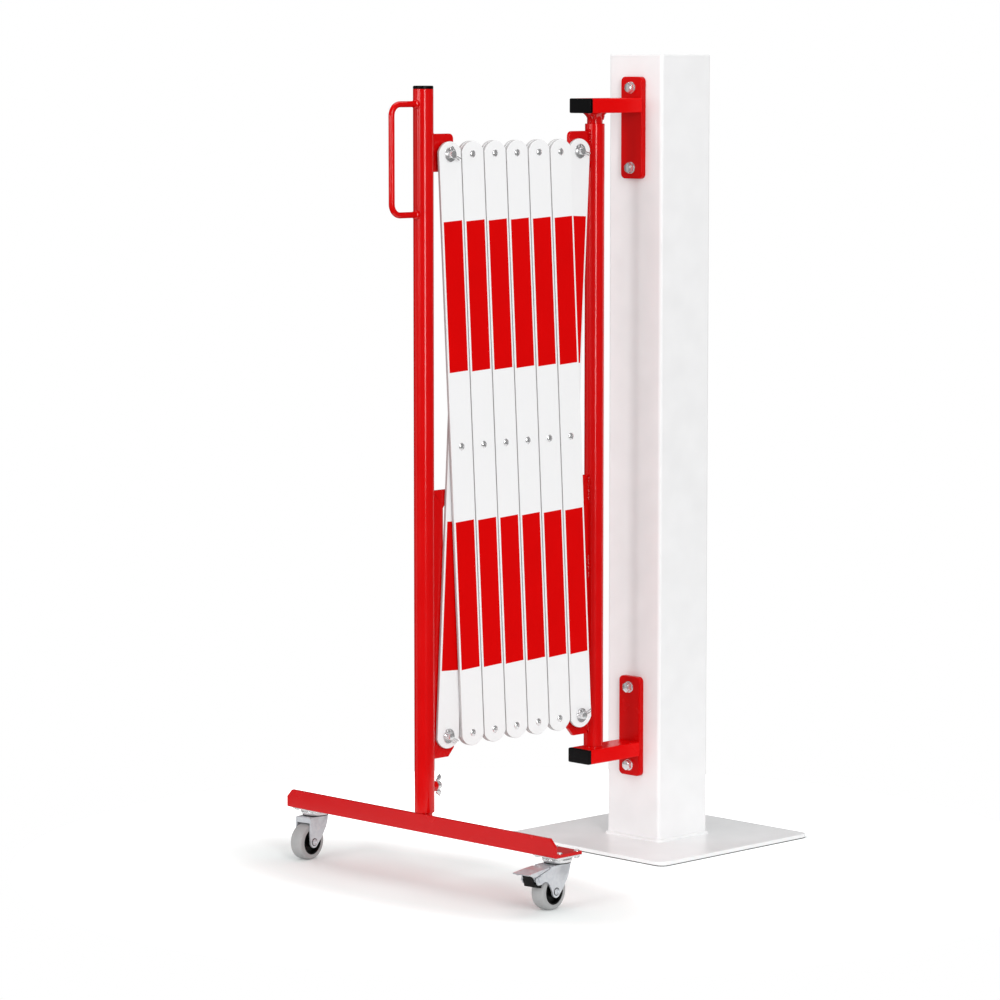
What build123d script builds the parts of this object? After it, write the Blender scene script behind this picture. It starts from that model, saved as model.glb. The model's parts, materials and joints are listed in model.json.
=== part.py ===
from build123d import *
import math
import os

# An expanding scissor barrier on a fixed post.
# Origin: centre of the base plate's underside, on the post's axis.  +Z up.
# The barrier folds out along -X.  The front bars face -Y.  Millimetres.

os.makedirs("parts", exist_ok=True)

# ---------------------------------------------------------------- fixed post
base_side = 305.0
base_thickness = 6.0
base_corner = 14.0
post_side = 100.0
post_wall = 3.0
post_corner = 5.0
post_top = 1100.0
cap_thickness = 3.0
foot_weld = 6.0

# ------------------------------------------- brackets, mirrored about mid_height
mid_height = 583.0
bracket_offset = 417.0
bracket_thickness = 8.0
bracket_width = 40.0
bracket_height = 140.0
bracket_corner = 7.0
bolt_spread = 55.0
arm_offset = 448.0
arm_height = 20.0
arm_wall = 2.0
arm_length = 96.5
arm_weld = 5.0
end_cap_flange = 5.0
end_cap_plug = 12.0
bolt_hole = 4.5
rivet_nut_radius = 5.5

# ------------------------------------------------------------- round tubes
tube_radius = 13.45
tube_bore = 10.75
spigot_radius = 10.65
pivot_x = -130.0
pivot_tube_top = 1006.6
collar_height = 2.0
collar_radius = 14.0
upper_spigot_reach = 50.0
lower_spigot_reach = 15.0
spigot_flare = 7.5
spigot_flare_radius = 16.5

# ------------------------------------------------------------- scissor bars
bar_count = 6
bar_length = 810.0
bar_width = 40.0
bar_thickness = 4.0
bar_end_radius = 22.0
pivot_span = 776.0
node_pitch = 41.6
top_row = 970.0
pin_offset = 37.0
plate_half = 2.5
washer_gap = 1.0
rivet_radius = 3.0
rivet_head = 5.2
rivet_head_height = 2.4
rivet_hole = 3.05
spacer_radius = 6.5
pin_radius = 5.0
pin_hole = 5.05
slide_gap = 0.3

# ------------------------------------------------------ lugs and slotted plates
lug_reach = 52.5
lug_low = 947.0
lug_high = 997.0
lug_corner = 7.0
slot_plate_low = 166.0
slot_plate_high = 526.0
slot_half = 5.3
slot_top = 505.5
slot_chamfer_x = 10.5
slot_chamfer_z = 11.5

# ------------------------------------------------------------- rolling post
rolling_top = 1056.0
rolling_bottom = 96.0
tube_cap_height = 4.0
handle_rod = 4.0
handle_reach = 57.0
handle_high = 1034.3
handle_low = 893.5
handle_bend = 15.0
wing_height = 129.0
weld_nut_across = 13.0
weld_nut_depth = 6.0
screw_radius = 4.0
screw_hole = 4.05

# ------------------------------------------------------------- foot and castors
angle_front = -468.5
angle_length = 517.0
angle_thickness = 4.0
angle_width = 50.0
angle_low = 71.0
angle_chamfer = 10.0
foot_spigot_top = 215.0
castor_x = -438.7
castor_y = 233.5
castor_headings = {"back": 7.5, "front": 6.0}
castor_plate = 48.0
castor_plate_thickness = 2.5
castor_bolt_across = 15.9
castor_bolt_along = 19.5
castor_bolt = 2.5
castor_bolt_head = 4.2
castor_head_height = 2.0
castor_nut = 8.0
castor_nut_height = 2.7
castor_bolt_end = 3.3
castor_trail = 18.3
wheel_radius = 25.0
tyre_half = 10.3
core_radius = 17.8
hub_half = 10.7
axle_radius = 3.0
fork_inner = 11.2
fork_outer = 13.5
crown_low = 57.0
crown_high = 59.2
kingpin_radius = 4.0
brake_x = -51.2
brake_z = 46.2
shoe_gap = 1.6

# ------------------------------------------------------------- worked-out places
fold_angle = math.degrees(math.asin(node_pitch / pivot_span))
bottom_row = top_row - pivot_span * math.cos(math.radians(fold_angle))
rear_far = -plate_half - washer_gap
rear_near = rear_far - bar_thickness
front_far = rear_near - washer_gap
front_near = front_far - bar_thickness
last_node_x = pivot_x - pin_offset
first_node_x = last_node_x - bar_count * node_pitch
rolling_x = first_node_x - pin_offset
bracket_face = -post_side / 2 - bracket_thickness
arm_end = bracket_face - arm_length


FROM_BASE = (Align.CENTER, Align.CENTER, Align.MIN)


def node_x(index):
    """X of the index-th column of pivots, 0 at the rolling post."""
    return first_node_x + index * node_pitch


def save(shape, name):
    """Write one node."""
    export_step(shape, f"parts/{name}.step")


def save_group(shapes, name):
    """Write several separate solids as one node."""
    export_step(Compound(children=list(shapes)), f"parts/{name}.step")


def block(x0, x1, y0, y1, z0, z1):
    """Box between two corners."""
    centre = Pos((x0 + x1) / 2, (y0 + y1) / 2, (z0 + z1) / 2)
    return centre * Box(abs(x1 - x0), abs(y1 - y0), abs(z1 - z0))


def rod_x(radius, x0, x1, y=0.0, z=0.0):
    """Round bar along X."""
    return Pos((x0 + x1) / 2, y, z) * Rot(0, 90, 0) * Cylinder(radius, abs(x1 - x0))


def rod_y(radius, y0, y1, x=0.0, z=0.0):
    """Round bar along Y."""
    return Pos(x, (y0 + y1) / 2, z) * Rot(90, 0, 0) * Cylinder(radius, abs(y1 - y0))


def rod_z(radius, z0, z1, x=0.0, y=0.0):
    """Round bar along Z."""
    return Pos(x, y, (z0 + z1) / 2) * Cylinder(radius, abs(z1 - z0))


def ring_y(outer, inner, y0, y1, x, z):
    """Flat ring with its axis along Y."""
    return rod_y(outer, y0, y1, x, z) - rod_y(inner, y0 - 1, y1 + 1, x, z)


def side_profile(points, y0, y1):
    """Prism of a closed outline drawn in X and Z, from y0 to y1."""
    face = make_face(Plane.XZ * Polyline(*points, close=True))
    return Pos(0, (y0 + y1) / 2, 0) * extrude(face, abs(y1 - y0) / 2, both=True)


def hex_prism_x(across, x0, x1, y, z):
    """Hexagonal prism along X, two of its flats upright."""
    face = Plane.YZ * RegularPolygon(across / 2, 6, major_radius=False)
    return Pos((x0 + x1) / 2, y, z) * extrude(face, abs(x1 - x0) / 2, both=True)


def hex_prism_z(across, z0, z1, x, y):
    """Hexagonal prism along Z, with a flat towards X."""
    face = RegularPolygon(across / 2, 6, major_radius=False, rotation=30)
    return Pos(x, y, z0) * extrude(face, z1 - z0)


# ================================================================ fixed post
def base_plate():
    plate = extrude(RectangleRounded(base_side, base_side, base_corner), base_thickness)
    bead_side = post_side + 2 * foot_weld
    bead_face = Pos(0, 0, base_thickness) * RectangleRounded(bead_side, bead_side, post_corner + foot_weld)
    bead = extrude(bead_face, foot_weld - 0.5, taper=45)
    core_face = Pos(0, 0, base_thickness) * RectangleRounded(post_side, post_side, post_corner)
    return plate + (bead - extrude(core_face, foot_weld + 1))


def post_tube():
    low, high = base_thickness, post_top - cap_thickness
    outer = RectangleRounded(post_side, post_side, post_corner)
    hollow = post_side - 2 * post_wall
    inner = RectangleRounded(hollow, hollow, post_corner - post_wall)
    tube = Pos(0, 0, low) * extrude(outer - inner, high - low)
    for z in bolt_heights():
        tube -= rod_x(rivet_nut_radius, -post_side / 2 - 2, -post_side / 2 + 6, 0, z)
    return tube


def post_cap():
    face = RectangleRounded(post_side, post_side, post_corner)
    cap = Pos(0, 0, post_top - cap_thickness) * extrude(face, cap_thickness)
    return fillet(cap.faces().sort_by(Axis.Z)[-1].edges(), 1.0)



def bolt_heights():
    """Heights of the four bolts that hold the two brackets."""
    heights = []
    for side in (1, -1):
        for spread in (1, -1):
            heights.append(mid_height + side * bracket_offset + spread * bolt_spread)
    return heights


def rivet_nuts():
    wall_out = -post_side / 2
    nuts = []
    for z in bolt_heights():
        body = rod_x(rivet_nut_radius, wall_out, wall_out + 15, 0, z)
        bulge = rod_x(7.0, wall_out + post_wall, wall_out + post_wall + 3, 0, z)
        nuts.append(body + bulge - rod_x(screw_hole, wall_out - 1, wall_out + 16, 0, z))
    return nuts


def bracket_bolts():
    bolts = []
    for z in bolt_heights():
        washer = rod_x(8.0, bracket_face - 1.6, bracket_face, 0, z)
        washer -= rod_x(screw_radius, bracket_face - 2, bracket_face + 1, 0, z)
        head_start = bracket_face - 1.6
        head = hex_prism_x(13.0, head_start - 5.3, head_start, 0, z)
        crown = Pos(head_start - 5.3, 0, z) * Rot(0, 90, 0) * Cone(6.2, 8.0, 3.6, align=FROM_BASE)
        shank = rod_x(screw_radius, head_start, -post_side / 2 + 13, 0, z)
        bolts.append((head & (crown + rod_x(9.0, head_start - 3.6, head_start, 0, z))) + shank)
        bolts.append(washer)
    return bolts


# ================================================================ brackets
def bracket_plate(side):
    z = mid_height + side * bracket_offset
    face = Plane.YZ * RectangleRounded(bracket_width, bracket_height, bracket_corner)
    plate = Pos(bracket_face, 0, z) * extrude(face, bracket_thickness)
    plate = fillet(plate.faces().sort_by(Axis.X)[0].edges(), 1.8)
    for spread in (1, -1):
        plate -= rod_x(bolt_hole, bracket_face - 1, -post_side / 2 + 1, 0, z + spread * bolt_spread)
    return plate


def arm_section(width, height, radius):
    """Rounded rectangle across X."""
    return Plane.YZ * RectangleRounded(width, height, radius)


def bracket_arm(side):
    z = mid_height + side * arm_offset
    outer = arm_section(bracket_width, arm_height, 2.0)
    inner = arm_section(bracket_width - 2 * arm_wall, arm_height - 2 * arm_wall, 1.0)
    arm = Pos(arm_end, 0, z) * extrude(outer - inner, arm_length)
    half = bracket_width / 2 - 3
    for up in (1, -1):
        edge = z + up * arm_height / 2
        toe = [
            (bracket_face, edge - up * 1.0),
            (bracket_face, edge + up * arm_weld),
            (bracket_face - arm_weld * 0.45, edge + up * arm_weld * 0.45),
            (bracket_face - arm_weld, edge - up * 0.2),
            (bracket_face - arm_weld, edge - up * 1.0),
        ]
        arm += side_profile(toe, -half, half)
    return arm


def arm_cap(side):
    z = mid_height + side * arm_offset
    flange_face = arm_section(bracket_width, arm_height, 2.0)
    flange = Pos(arm_end - end_cap_flange, 0, z) * extrude(flange_face, end_cap_flange)
    flange = fillet(flange.faces().sort_by(Axis.X)[0].edges(), 1.0)
    gap = 2 * (arm_wall + 0.2)
    plug_face = arm_section(bracket_width - gap, arm_height - gap, 0.8)
    hollow_face = arm_section(bracket_width - gap - 4, arm_height - gap - 4, 0.5)
    plug = Pos(arm_end, 0, z) * extrude(plug_face - hollow_face, end_cap_plug)
    return flange + plug


def upper_spigot():
    arm_under = mid_height + arm_offset - arm_height / 2
    peg = rod_z(spigot_radius, pivot_tube_top - upper_spigot_reach, arm_under, pivot_x)
    low = arm_under - spigot_flare
    with BuildSketch(Plane.XZ) as half_section:
        with BuildLine():
            Line((0, low - 1), (spigot_radius, low - 1))
            Line((spigot_radius, low - 1), (spigot_radius, low))
            middle = (spigot_radius + 2.3, arm_under - 3.2)
            ThreePointArc((spigot_radius, low), middle, (spigot_flare_radius, arm_under))
            Line((spigot_flare_radius, arm_under), (0, arm_under))
            Line((0, arm_under), (0, low - 1))
        make_face()
    flare = Pos(pivot_x, 0, 0) * revolve(half_section.sketch, Axis.Z)
    return chamfer((peg + flare).edges().group_by(Axis.Z)[0], 1.5)


def lower_spigot():
    arm_over = mid_height - arm_offset + arm_height / 2
    seat = arm_over + collar_height
    collar = rod_z(collar_radius, arm_over, seat, pivot_x)
    peg = rod_z(spigot_radius, seat - 1, seat + lower_spigot_reach, pivot_x)
    return chamfer((collar + peg).edges().group_by(Axis.Z)[-1], 1.5)


# ================================================================ pivot tube
def round_tube(x, low, high):
    tube = rod_z(tube_radius, low, high, x)
    return tube - rod_z(tube_bore, low - 1, high + 1, x)


def pivot_tube():
    seat = mid_height - arm_offset + arm_height / 2 + collar_height
    return round_tube(pivot_x, seat, pivot_tube_top)


def pin_lug(tube_x, towards):
    """Flat lug for a top pivot, on the side of the tube given by towards."""
    tip = tube_x + towards * lug_reach
    lug = block(tube_x, tip, -plate_half, plate_half, lug_low, lug_high)
    corner = lug.edges().filter_by(Axis.Y).group_by(Axis.X)[-1 if towards > 0 else 0]
    lug = fillet(corner, lug_corner)
    lug -= rod_z(tube_radius, lug_low - 1, lug_high + 1, tube_x)
    return lug - rod_y(pin_radius, -plate_half - 1, plate_half + 1, tube_x + towards * pin_offset, top_row)


def slot_plate(tube_x, towards):
    """Flat plate with the upright slot that guides a bottom pivot."""
    tip = tube_x + towards * lug_reach
    slot_x = tube_x + towards * pin_offset
    outline = [
        (tube_x, slot_plate_low),
        (tip - towards * slot_chamfer_x, slot_plate_low),
        (tip, slot_plate_low + slot_chamfer_z),
        (tip, slot_plate_high),
        (tube_x, slot_plate_high),
    ]
    plate = side_profile(outline, -plate_half, plate_half)
    upper = plate.edges().filter_by(Axis.Y).group_by(Axis.Z)[-1]
    plate = fillet(upper.sort_by(Axis.X)[-1 if towards > 0 else 0], lug_corner)
    low, high = bottom_row - 0.5, slot_top - slot_half
    cut = block(slot_x - slot_half, slot_x + slot_half, -9, 9, low, high)
    cut += rod_y(slot_half, -9, 9, slot_x, low)
    cut += rod_y(slot_half, -9, 9, slot_x, high)
    return plate - cut - rod_z(tube_radius, slot_plate_low - 1, slot_plate_high + 1, tube_x)


# ================================================================ scissor bars
def scissor_bar(near_y, lean, middle_x, holes):
    """One flat bar; lean is its tilt about Y, holes are three radii from top to bottom."""
    end_shift = bar_length / 2 - bar_end_radius
    outline = Rectangle(bar_width, 2 * end_shift)
    for end in (1, -1):
        outline += Pos(0, end * end_shift) * Circle(bar_end_radius)
    outline &= Rectangle(bar_width, bar_length)
    for hole, place in zip(holes, (pivot_span / 2, 0.0, -pivot_span / 2)):
        outline -= Pos(0, place) * Circle(hole)
    flat = extrude(Plane.XZ * outline, bar_thickness / 2, both=True)
    middle_z = (top_row + bottom_row) / 2
    return Pos(middle_x, near_y + bar_thickness / 2, middle_z) * Rot(0, lean, 0) * flat


def front_bar(index):
    """Bar from the top of column index to the bottom of the next column."""
    top = pin_hole if index == 0 else rivet_hole
    bottom = pin_hole if index == bar_count - 1 else rivet_hole
    middle_x = node_x(index + 0.5)
    return scissor_bar(front_near, -fold_angle, middle_x, (top, rivet_hole, bottom))


def rear_bar(index):
    """Bar from the bottom of column index to the top of the next column."""
    top = pin_hole if index == bar_count - 1 else rivet_hole
    bottom = pin_hole if index == 0 else rivet_hole
    middle_x = node_x(index + 0.5)
    return scissor_bar(rear_near, fold_angle, middle_x, (top, rivet_hole, bottom))


def rivet(x, z):
    """Domed rivet through a front bar and a rear bar."""
    shank = rod_y(rivet_radius, front_near, rear_far, x, z)
    dome_radius = (rivet_head ** 2 + rivet_head_height ** 2) / (2 * rivet_head_height)
    dome = Sphere(dome_radius)
    for face, away in ((front_near, -1), (rear_far, 1)):
        centre = Pos(x, face - away * (dome_radius - rivet_head_height), z)
        cap = (centre * dome) & rod_y(rivet_head, face, face + away * 4, x, z)
        shank += cap
    return shank


def front_rivets(index):
    """Rivets carried by one front bar, each with the spacer between the two layers."""
    middle_z = (top_row + bottom_row) / 2
    places = [(node_x(index + 0.5), middle_z)]
    if index > 0:
        places.append((node_x(index), top_row))
    if index < bar_count - 1:
        places.append((node_x(index + 1), bottom_row))
    pieces = []
    for x, z in places:
        pieces.append(rivet(x, z))
        pieces.append(ring_y(spacer_radius, rivet_hole, front_far, rear_near, x, z))
    return pieces


def split_pin(x, y, z, slope):
    """Split pin with its eye on one side and two spread legs on the other."""
    wire = 0.9
    eye_x, exit_x, leg_x = -8.6, 5.4, 13.0
    eye = Pos(eye_x, 0, 0) * Rot(90, 0, 0) * Torus(3.0, wire)
    piece = eye
    for side in (1, -1):
        offset = side * wire * 0.98
        piece += rod_x(wire, eye_x + 2.2, exit_x, 0, offset)
        leg = Polyline((exit_x - 0.5, 0, offset), (leg_x, 0, offset + side * 2.6))
        section = Plane(origin=leg @ 0, z_dir=leg % 0) * Circle(wire)
        piece += sweep(section, path=leg)
    return Pos(x, y, z) * Rot(0, slope, 0) * piece


def end_pin(x, z, head_face, layer_near, slope, spacers):
    """Headed pin from behind, with front washer, spacers and split pin, as separate solids."""
    washer_near = layer_near - 1.6
    split_y = washer_near - 2.4
    tip = split_y - 3.6
    pin = rod_y(pin_radius, tip, head_face, x, z) + rod_y(8.0, head_face, head_face + 3.0, x, z)
    pin = chamfer(pin.edges().group_by(Axis.Y)[0], 1.0)
    cross_hole = Pos(x, split_y, z) * Rot(0, slope, 0) * rod_x(1.95, -12, 12)
    pieces = [pin - cross_hole, ring_y(10.0, pin_hole, washer_near, layer_near, x, z)]
    for near, far in spacers:
        pieces.append(ring_y(9.0, pin_hole, near, far, x, z))
    pieces.append(split_pin(x, split_y, z, slope))
    return pieces


# ================================================================ rolling post
def rolling_tube():
    tube = round_tube(rolling_x, rolling_bottom, rolling_top)
    tube = chamfer(tube.edges().group_by(Axis.Z)[0].sort_by(SortBy.LENGTH)[-1], 1.2)
    return tube - rod_x(screw_hole, rolling_x + 5, rolling_x + tube_radius + 5, 0, wing_height)


def tube_cap():
    disc = rod_z(tube_radius, rolling_top, rolling_top + tube_cap_height, rolling_x)
    disc = fillet(disc.edges().group_by(Axis.Z)[-1], 1.4)
    plug = rod_z(tube_bore - 0.1, rolling_top - 12, rolling_top, rolling_x)
    return disc + plug


def handle():
    start_x = rolling_x - 5
    far_x = rolling_x - handle_reach
    path = FilletPolyline(
        (start_x, 0, handle_high),
        (far_x, 0, handle_high),
        (far_x, 0, handle_low),
        (start_x, 0, handle_low),
        radius=handle_bend,
    )
    section = Plane(origin=path @ 0, z_dir=path % 0) * Circle(handle_rod)
    rod = sweep(section, path=path)
    weld_start = rolling_x - tube_radius - 3.5
    for z in (handle_high, handle_low):
        rod += Pos(weld_start, 0, z) * Rot(0, 90, 0) * Cone(handle_rod + 0.2, 7.0, 6.0, align=FROM_BASE)
    return rod - rod_z(tube_radius, handle_low - 30, handle_high + 30, rolling_x)


def weld_nut():
    face = rolling_x + tube_radius
    nut = hex_prism_x(weld_nut_across, face - 2.0, face + weld_nut_depth, 0, wing_height)
    nut -= rod_z(tube_radius, wing_height - 20, wing_height + 20, rolling_x)
    return nut - rod_x(screw_hole, face - 4, face + weld_nut_depth + 1, 0, wing_height)


def wing_screw():
    nut_face = rolling_x + tube_radius + weld_nut_depth
    hub_start = nut_face + 0.6
    shank = rod_x(screw_radius, rolling_x + spigot_radius + 0.35, hub_start + 1, 0, wing_height)
    hub = Pos(hub_start, 0, wing_height) * Rot(0, 90, 0) * Cone(6.2, 5.0, 8.5, align=FROM_BASE)
    screw = shank + hub
    for side in (1, -1):
        ear_face = Plane.XZ * Ellipse(5.2, 7.8)
        ear = extrude(ear_face, 1.6, both=True)
        screw += Pos(hub_start + 6.2, 0, wing_height + side * 8.2) * Rot(0, side * 20, 0) * ear
    return screw


# ================================================================ foot
def foot_angle():
    back = angle_front + angle_thickness
    far = angle_front + angle_width
    deck = angle_low + angle_thickness
    outline = [
        (angle_front, angle_low),
        (far, angle_low),
        (far, deck),
        (back, deck),
        (back, rolling_bottom),
        (angle_front, rolling_bottom),
    ]
    half = angle_length / 2
    angle = side_profile(outline, -half, half)
    root = angle.edges().filter_by(Axis.Y).sort_by_distance(Vertex(back, 0, deck))[0]
    angle = fillet(root, 1.0)
    heel = angle.edges().filter_by(Axis.Y).sort_by_distance(Vertex(angle_front, 0, angle_low))[0]
    angle = fillet(heel, 2.0)
    for end in (1, -1):
        corner = make_face(Plane.YZ * Polyline(
            (end * half, rolling_bottom),
            (end * (half - angle_chamfer), rolling_bottom),
            (end * half, rolling_bottom - angle_chamfer),
            close=True,
        ))
        angle -= Pos(angle_front - 1, 0, 0) * extrude(corner, angle_thickness + 1.5, dir=(1, 0, 0))
    for x, y in castor_bolt_places():
        angle -= rod_z(castor_bolt + 0.2, angle_low - 1, deck + 1, x, y)
    return angle


def foot_spigot():
    deck = angle_low + angle_thickness
    peg = rod_z(spigot_radius, deck, foot_spigot_top, rolling_x)
    return chamfer(peg.edges().group_by(Axis.Z)[0] + peg.edges().group_by(Axis.Z)[-1], 1.5)


def castor_bolt_places():
    """Centres of the eight castor bolts."""
    places = []
    for y in (castor_y, -castor_y):
        for across in (1, -1):
            for along in (1, -1):
                places.append((castor_x + across * castor_bolt_across, y + along * castor_bolt_along))
    return places


def castor_bolts():
    under = angle_low - castor_plate_thickness
    deck = angle_low + angle_thickness
    pieces = []
    for x, y in castor_bolt_places():
        head = rod_z(castor_bolt_head, deck, deck + castor_head_height, x, y)
        head = fillet(head.edges().group_by(Axis.Z)[-1], 1.4)
        pieces.append(head + rod_z(castor_bolt, under - castor_bolt_end, deck + 1, x, y))
        nut = hex_prism_z(castor_nut, under - castor_nut_height, under, x, y)
        pieces.append(nut - rod_z(castor_bolt, under - castor_bolt_end, under + 1, x, y))
    return pieces


# ================================================================ castors
def castor_place(which):
    """Swivel axis of one castor, turned to its heading."""
    side = 1 if which == "back" else -1
    return Pos(castor_x, side * castor_y, 0) * Rot(0, 0, castor_headings[which])


def castor_head(which):
    """Top plate, domed ball cup and king pin of one castor."""
    side = 1 if which == "back" else -1
    under = angle_low - castor_plate_thickness
    plate = extrude(RectangleRounded(castor_plate, castor_plate, 4.0), castor_plate_thickness)
    head = Pos(0, 0, under) * plate
    for across in (1, -1):
        for along in (1, -1):
            place = (across * castor_bolt_across, along * castor_bolt_along)
            head -= rod_z(castor_bolt + 0.2, under - 1, angle_low + 1, *place)
    with BuildSketch(Plane.XZ) as half_section:
        with BuildLine():
            Polyline((0, under), (17.6, under))
            ThreePointArc((17.6, under), (20.2, under - 3.6), (17.9, 60.6))
            Polyline((17.9, 60.6), (0, 60.6), (0, under))
        make_face()
    head += revolve(half_section.sketch, Axis.Z)
    head += rod_z(kingpin_radius, crown_low - 1.2, 61.0)
    head += rod_z(7.0, crown_low - 2.4, crown_low - 0.2)
    return Pos(castor_x, side * castor_y, 0) * head


plain_leg = [
    (-25.5, crown_high),
    (11.0, crown_high),
    (10.0, 51.5),
    (6.8, 43.2),
    (2.6, 38.0),
    (-2.7, 29.4),
]
brake_leg = [
    (-33.4, 56.2),
    (-30.5, 57.0),
    (-29.0, crown_high),
    (11.4, crown_high),
    (10.6, 55.5),
    (8.3, 48.1),
    (5.5, 41.4),
    (-0.2, 33.9),
    (-5.0, 27.0),
]


def fork_leg_outline(which):
    """Side outline of a fork leg: crown line, sloping front edge, round end at the axle."""
    axle_x = -castor_trail
    lobe = 8.0
    with BuildSketch(Plane.XZ) as outline:
        if which == "back":
            with BuildLine():
                Polyline(*plain_leg, (axle_x + lobe * 0.72, wheel_radius - lobe * 0.66))
                Polyline(
                    (axle_x + lobe * 0.72, wheel_radius - lobe * 0.66),
                    (axle_x - lobe * 0.5, wheel_radius - 5.0),
                    (axle_x - lobe, wheel_radius),
                    (axle_x - lobe - 0.8, wheel_radius + 10.0),
                    plain_leg[0],
                )
            make_face()
        else:
            with BuildLine():
                Polyline(*brake_leg, (axle_x + lobe * 0.72, wheel_radius - lobe * 0.66))
                Polyline(
                    (axle_x + lobe * 0.72, wheel_radius - lobe * 0.66),
                    (axle_x - lobe * 0.5, wheel_radius - 5.0),
                    (axle_x - lobe - 0.8, wheel_radius + 1.5),
                    (axle_x - lobe - 5.5, wheel_radius + 9.5),
                )
                ThreePointArc(
                    (axle_x - lobe - 5.5, wheel_radius + 9.5),
                    (brake_x + 11.0, brake_z - 5.3),
                    (brake_x + 3.0, brake_z - 7.2),
                )
                Polyline(
                    (brake_x + 3.0, brake_z - 7.2),
                    (brake_x - 4.2, brake_z - 7.3),
                    (brake_x - 7.4, brake_z - 2.6),
                    (brake_x - 6.4, brake_z + 2.3),
                    (brake_x - 1.6, brake_z + 5.0),
                    brake_leg[0],
                )
            make_face()
        with Locations((axle_x, wheel_radius)):
            Circle(lobe)
    return outline.sketch


def castor_fork(which):
    """Pressed fork: crown, two legs, rear apron and the lower race."""
    leg_half = (fork_outer - fork_inner) / 2
    fork = None
    for side in (1, -1):
        leg = extrude(fork_leg_outline(which), leg_half, both=True)
        leg = Pos(0, side * (fork_inner + leg_half), 0) * leg
        fork = leg if fork is None else fork + leg
    rear = -25.5 if which == "back" else -19.0
    front = 11.0 if which == "back" else 11.4
    crown = block(rear, front, -fork_outer, fork_outer, crown_low, crown_high)
    fork += crown
    if which == "back":
        fork += block(rear, rear + 2.0, -fork_outer, fork_outer, 51.6, crown_high)
    race = rod_z(16.5, crown_high - 1, crown_high + 1.1)
    fork += race
    fork -= rod_z(kingpin_radius + 0.05, crown_low - 2, crown_high + 3)
    fork -= rod_y(axle_radius, -fork_outer - 1, fork_outer + 1, -castor_trail, wheel_radius)
    if which == "front":
        fork -= rod_y(2.55, -fork_outer - 1, fork_outer + 1, brake_x, brake_z)
    return castor_place(which) * fork


def castor_axle(which):
    """Hollow-ended axle rivet."""
    end = fork_outer + 1.4
    axle = rod_y(axle_radius, -fork_outer - 0.5, fork_outer + 0.5, -castor_trail, wheel_radius)
    for side in (1, -1):
        axle += rod_y(4.3, side * fork_outer, side * end, -castor_trail, wheel_radius)
        axle -= rod_y(2.2, side * (end - 1.0), side * (end + 1), -castor_trail, wheel_radius)
    return castor_place(which) * axle


def turned(points):
    """Solid of revolution about Y of an outline given as (radius, y) points."""
    face = make_face(Polyline(*points, close=True))
    return revolve(face, Axis.Y)


def castor_tyre(which):
    step = 2.6
    outline = [
        (core_radius, -tyre_half),
        (wheel_radius - 2 * step + 1.2, -tyre_half),
        (wheel_radius - step + 0.6, -tyre_half + 0.7),
        (wheel_radius - 0.7, -tyre_half + step),
        (wheel_radius, -tyre_half + 2 * step - 0.8),
        (wheel_radius, tyre_half - 2 * step + 0.8),
        (wheel_radius - 0.7, tyre_half - step),
        (wheel_radius - step + 0.6, tyre_half - 0.7),
        (wheel_radius - 2 * step + 1.2, tyre_half),
        (core_radius, tyre_half),
    ]
    return castor_place(which) * Pos(-castor_trail, 0, wheel_radius) * turned(outline)


def castor_core(which):
    bore, hub, rim = axle_radius + 0.05, 7.0, 14.9
    rim_half, web_half = tyre_half - 0.4, 5.5
    outline = [
        (bore, -hub_half),
        (hub, -hub_half),
        (hub + 0.6, -web_half),
        (rim, -web_half),
        (rim + 0.6, -rim_half),
        (core_radius, -rim_half),
        (core_radius, rim_half),
        (rim + 0.6, rim_half),
        (rim, web_half),
        (hub + 0.6, web_half),
        (hub, hub_half),
        (bore, hub_half),
    ]
    return castor_place(which) * Pos(-castor_trail, 0, wheel_radius) * turned(outline)


def brake_pedal():
    """Pressed lever over the wheel: ribbed top, two skirts, two cheeks and its pivot rivet."""
    tread = [
        (-75.6, 53.9),
        (-74.8, 55.3),
        (-50.0, 57.8),
        (-22.0, 59.0),
        (-22.0, 57.4),
        (-50.0, 56.2),
    ]
    pedal = side_profile(tread, -10.8, 10.8)
    wing = [point for point in tread[:3]] + [(-34.0, 58.5), (-34.0, 56.9), (-50.0, 56.2)]
    pedal += side_profile(wing, -fork_outer, fork_outer)
    for rib in range(4):
        at = -70.0 + 5.0 * rib
        pedal += rod_y(0.9, -10.5, 10.5, at, 55.1 + 0.1 * (at + 75.0))
    skirt = [
        (-74.0, 54.6),
        (-34.0, 57.6),
        (-36.0, 56.6),
        (-52.6, 52.2),
        (-59.6, 50.4),
        (-66.0, 50.6),
    ]
    cheek = [
        (-68.0, 54.4),
        (-32.0, 57.2),
        (-38.0, 52.0),
        (brake_x + 5.5, brake_z - 2.5),
        (brake_x, brake_z - 5.5),
        (brake_x - 6.0, brake_z - 3.0),
        (-62.0, 50.0),
    ]
    for side in (1, -1):
        pedal += side_profile(skirt, side * (fork_outer - 1.4), side * fork_outer)
        pedal += side_profile(cheek, side * 8.4, side * 10.0)
    pedal += rod_y(2.5, -fork_outer - 0.5, fork_outer + 0.5, brake_x, brake_z)
    for side in (1, -1):
        pedal += rod_y(4.2, side * (fork_outer + 0.1), side * (fork_outer + 1.3), brake_x, brake_z)
    return castor_place("front") * pedal


def brake_shoe():
    """Plastic block between the pedal's cheeks, hollowed to the tyre's curve."""
    block_outline = [
        (-63.5, 54.6),
        (-60.8, 47.0),
        (-57.8, 36.0),
        (-50.0, 34.0),
        (-43.0, 32.8),
        (-36.0, 42.0),
        (-34.5, 50.0),
        (-38.0, 56.0),
    ]
    shoe = side_profile(block_outline, -8.4, 8.4)
    shoe -= rod_y(wheel_radius + shoe_gap, -10, 10, -castor_trail, wheel_radius)
    shoe -= rod_y(2.5, -10, 10, brake_x, brake_z)
    return castor_place("front") * shoe


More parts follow.
